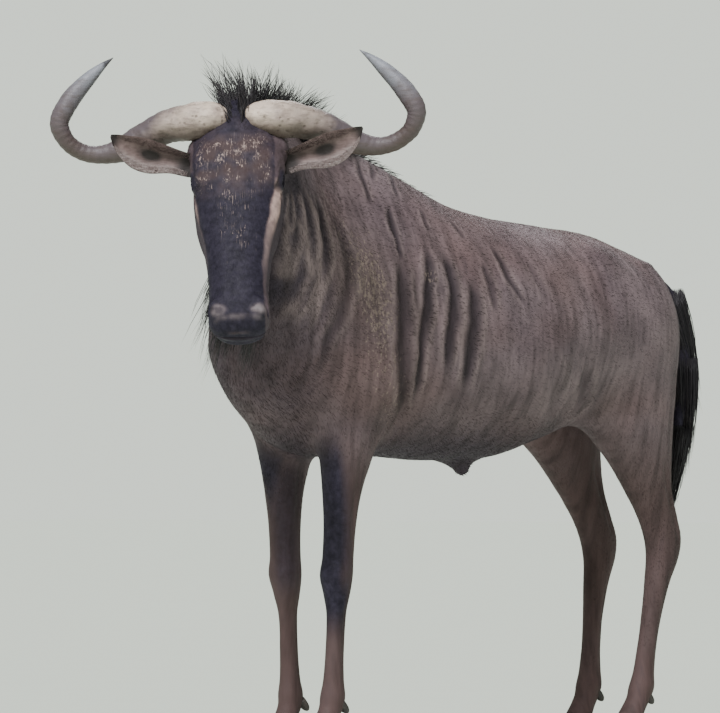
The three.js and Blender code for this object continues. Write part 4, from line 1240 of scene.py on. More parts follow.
@dataclass
class Shell:
    """A closed mesh of triangles that is put together from rings of points, one group after another."""

    vertices: list[Array] = field(default_factory=list)
    faces: list[Array] = field(default_factory=list)
    marks: list[Array] = field(default_factory=list)
    count: int = 0

    def take(self, rings: Array, marks: Array | None = None) -> None:
        """Adds rings of points with a fan over each end, turned so that its faces point outwards.

        Args:
            rings: n x m x 3 points.
            marks: n x m x 4 masks that go with them, where the piece has any.
        """
        n, m = rings.shape[:2]
        flat = np.concatenate([rings.reshape(-1, 3), rings[0].mean(0)[None], rings[-1].mean(0)[None]])
        quads = ring_faces(n, m)
        j = np.arange(m)
        k = (j + 1) % m
        low = np.stack([np.full(m, n * m), k, j], -1)
        high = np.stack([np.full(m, n * m + 1), (n - 1) * m + j, (n - 1) * m + k], -1)
        triangles = np.concatenate([quads[:, [0, 1, 2]], quads[:, [0, 2, 3]], low, high])
        a, b, c = (flat[triangles[:, i]] for i in range(3))
        if (a * np.cross(b, c)).sum() < 0:
            triangles = triangles[:, ::-1]
        self.vertices.append(flat)
        self.faces.append(triangles + self.count)
        self.count += len(flat)
        if marks is not None:
            ends = [marks[0].mean(0)[None], marks[-1].mean(0)[None]]
            self.marks.append(np.concatenate([marks.reshape(-1, 4), *ends]))

    def make(self, name: str, place: Place, material: Material, channel: str = "") -> Object:
        """The finished object, its masks stored under the channel's name."""
        points = place.metres(np.concatenate(self.vertices))
        made = make_object(name, points, np.concatenate(self.faces), material)
        if channel:
            set_colours(made, channel, np.concatenate(self.marks))
        return made


def tube_rings(path: Array, radii: Array, sides: int, up: Array) -> Array:
    """Rings of points round a path: each is (side cos t + rise sin t) times the radius there."""
    ahead = np.vstack([path[1:], path[-1:]])
    behind = np.vstack([path[:1], path[:-1]])
    along = unit(ahead - behind)
    side = unit(np.cross(up, along))
    rise = np.cross(along, side)
    turn = around(sides)
    ring = side[:, None] * np.cos(turn)[None, :, None] + rise[:, None] * np.sin(turn)[None, :, None]
    return path[:, None] + radii[:, None, None] * ring


# Long hair.
class Chance:
    """The same repeatable stream of numbers that the solids' locks are drawn from."""

    def __init__(self, seed: int) -> None:
        self.state = seed

    def __call__(self, low: float = 0.0, high: float = 1.0) -> float:
        """The next number between low and high."""
        self.state = (self.state * 1664525 + 1013904223) % 4294967296
        return low + (high - low) * self.state / 4294967296


class Curve:
    """A centripetal Catmull-Rom curve through points, with as much of t for each span."""

    def __init__(self, points: Sequence[Array]) -> None:
        self.points = [np.asarray(p, float) for p in points]

    def point(self, t: float) -> Array:
        """The point at t from 0 to 1."""
        pts = self.points
        last = len(pts) - 1
        at = last * t
        i = int(math.floor(at))
        share = at - i
        if i >= last:
            i, share = last - 1, 1.0
        p1, p2 = pts[i], pts[i + 1]
        p0 = pts[i - 1] if i > 0 else 2 * pts[0] - pts[1]
        p3 = pts[i + 2] if i + 2 <= last else 2 * pts[last] - pts[last - 1]
        d0, d1, d2 = (math.sqrt(np.linalg.norm(b - a)) for a, b in ((p0, p1), (p1, p2), (p2, p3)))
        leave = ((p1 - p0) / d0 - (p2 - p0) / (d0 + d1) + (p2 - p1) / d1) * d1
        arrive = ((p2 - p1) / d1 - (p3 - p1) / (d1 + d2) + (p3 - p2) / d2) * d1
        c2 = -3 * p1 + 3 * p2 - 2 * leave - arrive
        c3 = 2 * p1 - 2 * p2 + leave + arrive
        return p1 + leave * share + c2 * share**2 + c3 * share**3

    def tangent(self, t: float) -> Array:
        """The direction at t."""
        return unit(self.point(min(1, t + 1e-4)) - self.point(max(0, t - 1e-4)))


@dataclass
class Lock:
    """One lock: its sunk root, its frame, its length, its breadth and its bend."""

    root: Array
    along: Array
    wide: Array
    thin: Array
    length: float
    breadth: float
    bend: Array


def make_lock(root: Array, out: Array, flat: Array, length: float, breadth: float, bend: Array) -> Lock:
    """A lock whose breadth runs along flat, put square to the way it grows."""
    along = unit(out)
    wide = unit(flat - along * (flat @ along))
    return Lock(root, along, wide, np.cross(along, wide), length, breadth, bend)


def between(a: Lock, b: Lock, share: float) -> Lock:
    """A lock part of the way from one to another."""
    root, along, wide, _, length, breadth, bend = (
        (1 - share) * getattr(a, key) + share * getattr(b, key) for key in Lock.__annotations__
    )
    return make_lock(root, along, wide, length, breadth, bend)


def neck_line(u: float, column: int, lift: float) -> Array:
    """A point on the neck's top or underside."""
    return NECK_FRAME.place(u, 0, row_at(NECK, float(u))[column] + lift)


@dataclass(frozen=True)
class Mane:
    """The locks along the crest, from between the horns to behind the withers.

    They follow the solids' locks, but behind the head they are swept further over and have the fullness of
    the real ones: the first row is the share of the way, the second what a lock's length is multiplied by.
    """

    stations: int = 17
    breadth: float = 44
    sink: float = 26
    spread: float = 9
    lean: float = 0.2
    sweep: float = 0.40
    swept_to: float = 0.42
    fullness: tuple[tuple[float, ...], ...] = (
        (0.0, 0.16, 0.2, 0.24, 0.34, 0.42, 0.55, 1.0),
        (1.0, 1.0, 0.8, 1.15, 1.1, 0.8, 0.55, 0.55),
    )

    def line(self) -> Curve:
        """The line of roots."""
        high = [neck_line(u, 4, -6) for u in (400, 325, 255, 180, 100, 40)]
        back = [np.array([x, 0, row_at(TORSO, float(x))[4] - 6]) for x in (-90, -180, -270, -360)]
        return Curve([HEAD.place(18, 0, 60), HEAD.place(-20, 0, 40), *high, *back])

    def locks(self, chance: Chance) -> list[Lock]:
        """The locks, left and right of the line at each station."""
        crest, made = self.line(), []
        for i in range(self.stations):
            t = (i + 0.5) / self.stations
            along = crest.tangent(t)
            across = unit(np.cross(UP, along))
            _, length, slant = row_at(MANE_LENGTHS, t)
            length = length * float(np.interp(t, *self.fullness))
            swept = max(0.0, 1 - t / self.swept_to)
            for side in (-1, 1):
                at = min(1, t + chance(-0.012, 0.012))
                root = crest.point(at) + across * side * self.spread - UP * self.sink
                out = UP + along * (slant + chance(-0.15, 0.2))
                out = out + across * (side * self.lean + chance(-0.18, 0.18))
                bend = along * (length * chance(0.1, 0.3) * (1 - swept))
                bend = bend + across * (side * length * chance(0.05, 0.3) * (1 - swept)) - UP * 0.1 * length
                bend = bend - POLL_LEVEL.side * (self.sweep * length * swept)
                reach = length * chance(0.8, 1.12) + self.sink
                made.append(make_lock(root, out, along, reach, self.breadth * chance(0.85, 1.15), bend))
        return made


@dataclass(frozen=True)
class Beard:
    """The locks under the throat, from the chin back to the chest.

    They follow the solids' locks, but are longer at the chin and drift further to the side.
    """

    stations: int = 11
    breadth: float = 38
    sink: float = 24
    lean: float = 0.05
    drift: float = -0.13
    inset: float = 20

    def line(self) -> Curve:
        """The line of roots."""
        low = [neck_line(u, 2, 8) for u in (330, 240, 150, 60)]
        return Curve([HEAD.place(380, 0, -70), HEAD.place(250, 0, -100), HEAD.place(130, 0, -150), *low])

    def locks(self, chance: Chance) -> list[Lock]:
        """The locks, left and right of the line at each station."""
        throat, made = self.line(), []
        for i in range(self.stations):
            t = (i + 0.5) / self.stations
            along = throat.tangent(t)
            across = unit(np.cross(along, UP))
            _, length, distance = row_at(BEARD_LENGTHS, t)
            height = self.sink + 0.5 * max(0.0, float(distance) - self.inset)
            for side in (-1, 1):
                at = min(1, max(0, t + chance(-0.01, 0.01)))
                root = throat.point(at) + across * side * distance + UP * height
                out = -UP + across * (side * self.lean + chance(-0.12, 0.12))
                out = out + LEVEL * chance(-0.12, 0.12)
                bend = POLL_LEVEL.side * (length * (self.drift + chance(-0.1, 0.1)))
                bend = bend + LEVEL * (length * chance(-0.2, 0.05))
                reach = length * chance(0.75, 1.12) + height
                made.append(make_lock(root, out, along, reach, self.breadth * chance(0.85, 1.15), bend))
        return made


@dataclass(frozen=True)
class Tassel:
    """The tail's locks, in rings round its dock, as the solids have them."""

    rings: int = 4
    around: int = 4
    breadth: float = 54
    sink: float = 8
    length: float = 250
    start: float = 0.2
    stop: float = 0.84
    fine: int = 100

    def locks(self, chance: Chance) -> list[Lock]:
        """The locks, ring after ring."""
        dock, made = spread(TAIL, self.fine), []
        for i in range(self.rings):
            t = i / (self.rings - 1)
            step = int(math.floor(self.fine * (self.start + (self.stop - self.start) * t) + 0.5))
            centre, radius = dock[step, :3], dock[step, 3]
            down = unit(unit(dock[step + 1, :3] - centre) - UP)
            for k in range(self.around):
                turn = 2 * math.pi * (k + 0.5 * (i % 2) + chance(-0.15, 0.15)) / self.around
                away = np.array([math.cos(turn), math.sin(turn), 0.0])
                away = unit(away - down * (away @ down))
                root = centre + away * (radius - self.sink)
                length = self.length * (1 - 0.3 * t) * chance(0.85, 1.15)
                out = down + away * (0.02 + chance(-0.03, 0.04))
                bend = -UP * 0.1 * length - away * 0.14 * length
                breadth = self.breadth * chance(0.85, 1.15)
                made.append(make_lock(root, out, np.cross(down, away), length, breadth, bend))
        return made


# How far back and how high a hair may reach, in row millimetres.
HAIR_BACK, HAIR_TOP = -1272.0, 1532.0


@dataclass(frozen=True)
class StrandStyle:
    """How locks are filled.

    Args:
        count: strands a lock.
        radius: a strand's own radius at its root.
        segments: pieces along a strand.
        fray: how far tips stray, as a share of the length.
        wave: how far strands sway.
        shortest: the shortest strand's share of the lock's length.
        between: locks put in between one and the next.
        thin: above 1, more of the strands are short.
    """

    count: int
    radius: float
    segments: int
    fray: float
    wave: float
    shortest: float
    between: int
    thin: float


def within(path: Array) -> Array:
    """Which strands stay inside the reach of the solids, behind and above."""
    return (path[..., 0].min(1) > HAIR_BACK) & (path[..., 2].max(1) < HAIR_TOP)


def strands(locks: list[Lock], style: StrandStyle, rng: np.random.Generator) -> tuple[Array, ...]:
    """Strands that fill locks: root + along t L + bend t^2 + (wide a + thin b) taper(t) + fray and wave.

    Args:
        locks: the locks to fill.
        style: how many strands and how loose.
        rng: the seeded draw.

    Returns:
        Vertices, triangles and, one number a vertex, how far along its strand it is and that strand's tone.
    """
    n = style.segments
    t = np.linspace(0, 1, n + 1)
    share = np.array(LOCK)
    taper = np.interp(t, share[:, 0], share[:, 1])
    paths, radii = [], []
    for lock in locks:
        m = style.count
        angle, far = rng.uniform(0, 2 * math.pi, m), np.sqrt(rng.uniform(0, 1, m))
        a, b = far * np.cos(angle), 0.42 * far * np.sin(angle)
        part = style.shortest + (1 - style.shortest) * rng.uniform(0, 1, m) ** style.thin
        tt = t[None, :] * part[:, None]
        keep = 0.25 * np.interp(tt, share[:, 0], share[:, 1]) + 0.75 * taper[None, :] + 0.16
        middle = lock.root + lock.along * (tt * lock.length)[..., None] + lock.bend * (tt**2)[..., None]
        offset = (lock.wide * a[:, None] + lock.thin * b[:, None]) * lock.breadth / 2
        loose = rng.normal(0, style.fray, (m, 3))
        phase = rng.uniform(0, 2 * math.pi, (m, 1))
        sway = np.sin(phase + 2.2 * math.pi * tt) * style.wave * tt
        path = middle + offset[:, None] * keep[..., None]
        path = path + loose[:, None] * (tt**1.5)[..., None] * lock.length
        paths.append(path + lock.thin * sway[..., None])
        radii.append(style.radius * rng.uniform(0.65, 1.3, (m, 1)) * (1 - 0.85 * t[None, :] ** 2))
    path, radius = np.concatenate(paths), np.concatenate(radii)
    path, radius = path[within(path)], radius[within(path)]
    count = len(path)
    along = unit(np.gradient(path, axis=1))
    spin = unit(rng.normal(0, 1, (count, 1, 3)))
    side = unit(np.cross(along, np.broadcast_to(spin, along.shape)))
    rise = np.cross(along, side)
    turn = around(3)
    ring = 1.5 * side[:, :, None] * np.cos(turn)[:, None] + rise[:, :, None] * np.sin(turn)[:, None]
    rings = path[:, 1:-1, None] + (ring * radius[:, :, None, None])[:, 1:-1]
    per = 3 * (n - 1) + 2
    vertices = np.concatenate([path[:, :1], rings.reshape(count, -1, 3), path[:, -1:]], 1)
    quads = ring_faces(n - 1, 3) + 1
    j = np.arange(3)
    k = (j + 1) % 3
    root_fan = np.stack([0 * j, 1 + k, 1 + j], -1)
    tip_fan = np.stack([0 * j + per - 1, per - 4 + j, per - 4 + k], -1)
    pattern = np.concatenate([quads[:, [0, 1, 2]], quads[:, [0, 2, 3]], root_fan, tip_fan])
    faces = (pattern[None] + (np.arange(count) * per)[:, None, None]).reshape(-1, 3)
    far = np.concatenate([[0.0], np.repeat(t[1:-1], 3), [1.0]])
    tone = np.repeat(rng.uniform(0, 1, count), per)
    return vertices.reshape(-1, 3), faces, np.tile(far, count), tone


@dataclass
class Hair:
    """One piece of long hair: its locks, how each is filled, and its seed."""

    name: str
    locks: list[Lock]
    style: StrandStyle
    seed: int
    pair: int = 2

    def filled(self) -> list[Lock]:
        """The locks with others between each and the next on its side, so that no gap shows at the roots."""
        out = list(self.locks)
        for a, b in zip(self.locks[: -self.pair], self.locks[self.pair :]):
            out += [between(a, b, (k + 1) / (self.style.between + 1)) for k in range(self.style.between)]
        return out

    def make(self, place: Place, finishes: Finishes) -> Object:
        """The hair as one mesh, with how far along each strand is and its tone."""
        rng = np.random.default_rng(SEED + self.seed)
        vertices, faces, far, tone = strands(self.filled(), self.style, rng)
        made = make_object(self.name, place.metres(vertices), faces, finishes.hair)
        set_colours(made, "strand", np.stack([far**2, tone, far, np.ones_like(far)], -1))
        return made


# Materials.
Colour = Triple


@dataclass(frozen=True)
class CoatFinish:
    """The coat's colours, in linear light, and its gloss."""

    light: Colour = (0.185, 0.138, 0.150)
    dark: Colour = (0.050, 0.034, 0.043)
    warm: Colour = (0.122, 0.074, 0.072)
    # Painted shade in the folds, also the colour of the hide's dark stripes.
    fold: Colour = (0.018, 0.013, 0.017)
    # A painted highlight on the folds' lips.
    ridge: Colour = (0.250, 0.190, 0.190)
    black: Colour = (0.0105, 0.0085, 0.0170)
    # Lighter, bluish black laid in random patches: partly the hair's own tone, partly a painted sheen.
    black_tone_and_sheen: Colour = (0.0270, 0.0225, 0.0390)
    tan: Colour = (0.540, 0.375, 0.345)
    brown: Colour = (0.060, 0.036, 0.034)
    mud: Colour = (0.260, 0.200, 0.170)
    scar: Colour = (0.360, 0.275, 0.250)
    muzzle: Colour = (0.195, 0.170, 0.182)
    roughness: float = 0.66
    specular: float = 0.22


@dataclass(frozen=True)
class HairFinish:
    """The long hair's colours, in linear light."""

    root: Colour = (0.009, 0.008, 0.012)
    strand: Colour = (0.030, 0.025, 0.030)
    tip: Colour = (0.060, 0.044, 0.038)


@dataclass(frozen=True)
class HornFinish:
    """The horns' colours from the boss to the tip, in linear light."""

    boss: Colour = (0.74, 0.60, 0.50)
    shade: Colour = (0.24, 0.170, 0.165)
    # Dark of the pits and streaks, also used for the painted shade under the horn.
    pit: Colour = (0.085, 0.060, 0.050)
    curve: Colour = (0.120, 0.095, 0.108)
    bend: Colour = (0.072, 0.050, 0.050)
    tip: Colour = (0.27, 0.28, 0.33)
    point: Colour = (0.07, 0.07, 0.085)
    roughness: float = 0.46


@dataclass(frozen=True)
class EarFinish:
    """The ears' colours, in linear light."""

    back: Colour = (0.060, 0.047, 0.050)
    back_light: Colour = (0.125, 0.100, 0.102)
    inside: Colour = (0.100, 0.062, 0.060)
    inside_light: Colour = (0.250, 0.178, 0.170)
    rim: Colour = (0.017, 0.0115, 0.0110)
    fringe: Colour = (0.42, 0.365, 0.350)


@dataclass(frozen=True)
class HoofFinish:
    """The hooves' colours, in linear light, and how high dust lies on them, in metres."""

    dark: Colour = (0.022, 0.018, 0.018)
    light: Colour = (0.070, 0.056, 0.050)
    dust: Colour = (0.14, 0.115, 0.095)
    dusty_to: float = 0.022


@dataclass(frozen=True)
class EyeFinish:
    """The eyes' colours, in linear light."""

    white: Colour = (0.020, 0.012, 0.010)
    iris_dark: Colour = (0.016, 0.008, 0.004)
    iris_light: Colour = (0.050, 0.024, 0.011)
    pupil: Colour = (0.002, 0.002, 0.003)


class Slot(Enum):
    """The material slots."""

    HIDE = "hide"
    HAIR = "hair"
    HORN = "horn"
    HOOF = "hoof"
    EYE = "eye"


class Shader:
    """A small helper that adds nodes and links to one material or group."""

    def __init__(self, tree: Tree) -> None:
        self.tree = tree

    def add(self, kind: str, **inputs: object) -> Node:
        """A node with plain inputs set; a socket given as a value is linked."""
        node = self.tree.nodes.new(kind)
        for key, value in inputs.items():
            self.put(node, key.replace("_", " "), value)
        return node

    def group(self, tree: Tree, **inputs: Socket) -> bpy.types.NodeOutputs:
        """A node group put in, its inputs linked; gives its outputs."""
        node = self.tree.nodes.new("ShaderNodeGroup")
        node.node_tree = tree
        for name, value in inputs.items():
            self.put(node, name, value)
        return node.outputs

    def put(self, node: Node, name: str | int, value: object) -> None:
        """Sets or links one input."""
        socket = node.inputs[name]
        if isinstance(value, Socket):
            self.tree.links.new(value, socket)
        elif isinstance(value, tuple) and socket.type == "RGBA":
            socket.default_value = (*value[:3], 1.0)
        else:
            socket.default_value = value

    def noise(self, vector: Socket, scale: float, detail: float = 3.0, rough: float = 0.55) -> Socket:
        """Fractal noise from 0 to 1."""
        node = self.add("ShaderNodeTexNoise", Vector=vector, Scale=scale, Detail=detail, Roughness=rough)
        return node.outputs["Fac"]

    def drawn(
        self, vector: Socket, scale: Triple, detail: float, rough: float = 0.55, turn: Matrix | None = None
    ) -> Socket:
        """Noise with its own scale in each direction, of the object or, where asked, of a turned frame."""
        return self.noise(self.mapped(vector, scale, turn), 1.0, detail, rough)

    def math(self, kind: str, a: object, b: object) -> Socket:
        """One sum of two values."""
        node = self.tree.nodes.new("ShaderNodeMath")
        node.operation = kind
        self.put(node, 0, a)
        self.put(node, 1, b)
        return node.outputs[0]

    def plus(self, a: object, b: object) -> Socket:
        """Two values added."""
        return self.math("ADD", a, b)

    def times(self, first: object, *more: object) -> Socket:
        """The product of values."""
        for value in more:
            first = self.math("MULTIPLY", first, value)
        return first

    def fit(self, value: object, low: float, high: float, to: float = 0.0, up_to: float = 1.0) -> Socket:
        """A value stretched from one range to another, and kept inside it."""
        node = self.add("ShaderNodeMapRange", Value=value)
        for name, end in zip(("From Min", "From Max", "To Min", "To Max"), (low, high, to, up_to)):
            self.put(node, name, end)
        return node.outputs[0]

    def mix(self, share: object, a: object, b: object) -> Socket:
        """Two colours mixed; a mix node's colours are its inputs 6 and 7 and its output 2."""
        node = self.tree.nodes.new("ShaderNodeMix")
        node.data_type = "RGBA"
        for index, value in ((0, share), (6, a), (7, b)):
            self.put(node, index, value)
        return node.outputs[2]

    def mapped(self, vector: Socket, scale: Triple, turn: Matrix | None) -> Socket:
        """Coordinates turned, where asked, and then scaled apart in each direction."""
        if turn is not None:
            turner = self.add("ShaderNodeMapping", Vector=vector)
            turner.inputs["Rotation"].default_value = turn.to_euler()
            vector = turner.outputs["Vector"]
        node = self.add("ShaderNodeMapping", Vector=vector)
        node.inputs["Scale"].default_value = scale
        return node.outputs["Vector"]

    def attribute(self, name: str) -> tuple[Socket, Socket]:
        """A colour attribute's colour and fourth number."""
        node = self.tree.nodes.new("ShaderNodeAttribute")
        node.attribute_name = name
        return node.outputs["Color"], node.outputs["Alpha"]

    def parts(self, colour: Socket) -> list[Socket]:
        """A colour's three numbers."""
        return list(self.add("ShaderNodeSeparateColor", Color=colour).outputs)


def new_group(name: str, inputs: dict[str, str], outputs: dict[str, str]) -> tuple[Shader, Node, Node]:
    """An empty node group with named sockets, its input node and its output node."""
    group = bpy.data.node_groups.new(name, "ShaderNodeTree")
    for way, sockets in (("INPUT", inputs), ("OUTPUT", outputs)):
        for socket, kind in sockets.items():
            group.interface.new_socket(socket, in_out=way, socket_type=f"NodeSocket{kind}")
    return Shader(group), group.nodes.new("NodeGroupInput"), group.nodes.new("NodeGroupOutput")


HEAD_TURN = Matrix([list(HEAD.along), list(HEAD.side), list(HEAD.rise)])
BODY_TURN = Matrix.Rotation(math.radians(-24.0), 3, "Y")


def lying_group() -> Tree:
    """The node group of the fur's grain, for bump along its lie, and of the body's upright streaks."""
    s, source, result = new_group(
        "LyingFur", {"Parts": "Color", "Position": "Vector"}, {"Grain": "Float", "Streak": "Float"}
    )
    shares, position = s.parts(source.outputs["Parts"]), source.outputs["Position"]
    lays = (
        s.drawn(position, (110.0, 520.0, 520.0), 2.0, 0.6, BODY_TURN),
        s.drawn(position, (100.0, 560.0, 560.0), 2.0, 0.6, HEAD_TURN),
        s.drawn(position, (520.0, 520.0, 110.0), 2.0, 0.6),
    )
    total = s.times(shares[0], lays[0])
    for share, lay in zip(shares[1:], lays[1:]):
        total = s.plus(s.times(share, lay), total)
    s.put(result, "Grain", total)
    upright = s.math("SUBTRACT", s.drawn(position, (48.0, 18.0, 6.0), 3.0, 0.55), 0.5)
    s.put(result, "Streak", s.times(upright, s.math("SUBTRACT", 1.0, shares[1])))
    return s.tree


def coat_group(finish: CoatFinish) -> Tree:
    """The node group of the coat's colour: the markings' masks mixed over a mottled grey, with painted shade
    in the folds and a painted highlight on their lips.
    """
    inputs = {"Masks": "Color", "FoldShade": "Float", "Zones": "Color", "RidgeHighlight": "Float", "Streak": "Float"}
    s, source, result = new_group(
        "CoatColour", {**inputs, "Position": "Vector"}, {"Colour": "Color", "Mottle": "Float"}
    )
    black, tan, brown = s.parts(source.outputs["Masks"])
    mud, speckle, muzzle = s.parts(source.outputs["Zones"])
    fold, ridge, streak, position = (source.outputs[name] for name in ("FoldShade", "RidgeHighlight", "Streak", "Position"))
    broad = s.noise(position, 8.0, 3.0)
    drift = s.noise(position, 3.1, 2.0)
    fine = s.noise(position, 105.0, 3.0, 0.65)
    level = s.plus(s.fit(broad, 0.32, 0.68, 0.0, 0.5), s.fit(fine, 0.3, 0.7, 0.25, 0.5))
    tone = s.mix(level, finish.dark, finish.light)
    tone = s.mix(s.fit(drift, 0.45, 0.65, 0.0, 0.6), tone, finish.warm)
    tone = s.mix(s.times(brown, 0.92), tone, finish.brown)
    # Painted highlight on the folds' lips.
    tone = s.mix(s.times(ridge, 0.62), tone, finish.ridge)
    # Painted shade in the folds, with the hide's stripes, and the darker upright streaks.
    ragged = s.plus(fold, s.fit(fine, 0.2, 0.8, -0.02, 0.14))
    folded = s.times(s.fit(ragged, 0.08, 0.95), s.fit(fold, 0.02, 0.2), 0.88)
    folded = s.math("MAXIMUM", folded, s.fit(streak, 0.10, 0.26, 0.0, 0.45))
    tone = s.mix(folded, tone, finish.fold)
    # Random lighter, bluish patches of the black: partly its own tone, partly a painted sheen.
    worn = s.mix(s.fit(s.noise(position, 70.0, 5.0, 0.65), 0.36, 0.68), finish.black, finish.black_tone_and_sheen)
    tone = s.mix(black, tone, worn)
    tone = s.mix(s.times(tan, s.fit(fine, 0.25, 0.6, 0.6, 1.0)), tone, finish.tan)
    tone = s.mix(s.times(muzzle, s.fit(fine, 0.3, 0.7, 0.55, 1.0)), tone, finish.muzzle)
    crumbs = s.drawn(position, (150.0, 150.0, 85.0), 5.0, 0.7)
    caked = s.fit(s.plus(crumbs, s.fit(mud, 0.0, 1.0, -0.18, 0.05)), 0.52, 0.62)
    tone = s.mix(s.times(caked, s.fit(mud, 0.05, 0.4), 0.62), tone, finish.mud)
    flecks = s.drawn(position, (95.0, 190.0, 190.0), 5.0, 0.75, HEAD_TURN)
    flecked = s.fit(s.plus(flecks, s.fit(speckle, 0.0, 1.0, -0.2, 0.06)), 0.56, 0.64)
    tone = s.mix(s.times(flecked, s.fit(speckle, 0.05, 0.3), 0.80), tone, finish.scar)
    scratch = s.drawn(position, (34.0, 420.0, 420.0), 3.0, 0.6, HEAD_TURN)
    tone = s.mix(s.times(s.fit(scratch, 0.58, 0.68), s.fit(speckle, 0.1, 0.5), 0.5), tone, finish.scar)
    depth = s.fit(streak, -0.2, 0.2, 0.7524, 1.5276)
    shaded = s.add("ShaderNodeVectorMath")
    shaded.operation = "SCALE"
    s.put(shaded, 0, tone)
    s.put(shaded, "Scale", depth)
    s.put(result, "Colour", shaded.outputs[0])
    s.put(result, "Mottle", fine)
    return s.tree


class Finishes:
    """Every material of the animal and its stand."""

    def __init__(self) -> None:
        self.coat_finish = CoatFinish()
        self.lying = lying_group()
        self.group = coat_group(self.coat_finish)
        self.skin = self._coat("skin_hide", 0.0014)
        self.coat = self._coat("coat_hair", 0.0)
        self.hair = self._hair(HairFinish())
        self.horn = self._horn(HornFinish())
        self.hoof = self._hoof(HoofFinish())
        self.eye = self._eye(EyeFinish())
        self.ear = self._ear(EarFinish())
        self.floor = self._floor(Studio.floor)

    @staticmethod
    def _new(name: str) -> tuple[Material, Shader, Node, Socket]:
        """An empty material, its helper, its shader node and its object coordinates."""
        material = bpy.data.materials.new(name)
        material.use_nodes = True
        s = Shader(material.node_tree)
        principled = material.node_tree.nodes["Principled BSDF"]
        return material, s, principled, s.add("ShaderNodeTexCoord").outputs["Object"]

    @staticmethod
    def _paint(s: Shader, out: Node, colour: Socket, roughness: Socket) -> None:
        """Gives a surface its colour and its roughness."""
        s.put(out, "Base Color", colour)
        s.put(out, "Roughness", roughness)

    @staticmethod
    def _bump(s: Shader, out: Node, height: Socket, strength: float, distance: float) -> None:
        """Raises a surface by a height."""
        node = s.add("ShaderNodeBump", Strength=strength, Distance=distance, Height=height)
        s.put(out, "Normal", node.outputs[0])

    def _coat(self, name: str, relief: float) -> Material:
        """The short coat, with bump where it isn't made of tufts."""
        material, s, out, position = self._new(name)
        fur = s.group(self.lying, Parts=s.attribute("parts")[0], Position=position)
        # The folds' painted shade comes in the marks' fourth number.
        masks, fold = s.attribute("marks")
        # The painted highlight on the folds' lips comes in the zones' fourth number.
        zones, ridge = s.attribute("zones")
        marks = {"Masks": masks, "FoldShade": fold, "Zones": zones, "RidgeHighlight": ridge}
        coat = s.group(self.group, **marks, Streak=fur["Streak"], Position=position)
        rough = self.coat_finish.roughness
        self._paint(s, out, coat["Colour"], s.fit(coat["Mottle"], 0.3, 0.7, rough - 0.08, rough + 0.1))
        out.inputs["Specular IOR Level"].default_value = self.coat_finish.specular
        if relief:
            uneven = s.plus(fur["Grain"], s.times(s.noise(position, 210.0, 3.0, 0.6), 0.5))
            self._bump(s, out, uneven, 0.45, relief)
        return material

    def _hair(self, finish: HairFinish) -> Material:
        """The long black hair: no two strands quite alike in their black, a little brown at the tip."""
        material, s, out, position = self._new("black_hair")
        far, tone_of, _ = s.parts(s.attribute("strand")[0])
        tone = s.mix(tone_of, finish.root, finish.strand)
        brown = s.times(far, s.fit(s.noise(position, 22.0), 0.4, 0.7), s.fit(tone_of, 0.4, 0.9))
        tone = s.mix(brown, tone, finish.tip)
        self._paint(s, out, tone, s.fit(s.noise(position, 60.0), 0.3, 0.7, 0.40, 0.58))
        return material

    def _horn(self, finish: HornFinish) -> Material:
        """Horn: a cream, pitted boss that turns violet grey, brown in the low bend and bluish at the tip, with
        painted shade on its underside.
        """
        material, s, out, position = self._new("horn_keratin")
        share, under, pit = s.parts(s.attribute("horn")[0])
        cloud = s.noise(position, 14.0, 4.0)
        t = s.plus(share, s.fit(cloud, 0.3, 0.7, -0.05, 0.05))
        stained = s.fit(s.noise(position, 20.0, 4.0, 0.65), 0.44, 0.70, 0.0, 0.75)
        boss = s.mix(s.math("MAXIMUM", stained, s.fit(t, 0.05, 0.20, 0.0, 0.45)), finish.boss, finish.shade)
        tone = s.mix(s.fit(t, 0.13, 0.27), boss, finish.curve)
        tone = s.mix(s.fit(t, 0.42, 0.56), tone, finish.bend)
        tone = s.mix(s.fit(t, 0.58, 0.72), tone, finish.curve)
        tone = s.mix(s.fit(t, 0.76, 0.90), tone, finish.tip)
        tone = s.mix(s.fit(t, 0.955, 0.99), tone, finish.point)
        streak = s.drawn(position, (34.0, 34.0, 130.0), 4.0, 0.65)
        tone = s.mix(s.fit(streak, 0.48, 0.72, 0.0, 0.62), tone, finish.pit)
        holes = s.add("ShaderNodeTexVoronoi", Vector=position, Scale=72.0).outputs["Distance"]
        dented = s.times(s.fit(holes, 0.30, 0.12), s.fit(s.noise(position, 40.0), 0.42, 0.6), pit)
        tone = s.mix(s.times(dented, 0.7), tone, finish.pit)
        # Painted shade on the horn's underside.
        tone = s.mix(s.times(under, 0.85), tone, finish.pit)
        self._paint(s, out, tone, s.fit(streak, 0.3, 0.7, finish.roughness - 0.08, finish.roughness + 0.16))
        grooves = s.noise(position, 150.0, 5.0, 0.7)
        height = s.plus(s.plus(grooves, s.times(streak, 0.8)), s.times(dented, -1.2))
        self._bump(s, out, height, 0.65, 0.0018)
        return material

    def _hoof(self, finish: HoofFinish) -> Material:
        """Dark hoof horn with growth rings and dusty, worn edges."""
        material, s, out, position = self._new("hoof_horn")
        rings = s.drawn(position, (9.0, 9.0, 170.0), 2.0)
        wear = s.noise(position, 60.0, 4.0)
        tone = s.mix(s.fit(wear, 0.35, 0.7), finish.dark, finish.light)
        dusty = s.times(s.fit(s.parts(position)[2], finish.dusty_to, 0.0), s.fit(wear, 0.3, 0.6), 0.6)
        tone = s.mix(dusty, tone, finish.dust)
        self._paint(s, out, tone, s.fit(wear, 0.3, 0.7, 0.42, 0.68))
        self._bump(s, out, s.plus(rings, s.times(wear, 0.4)), 0.6, 0.0016)
        return material

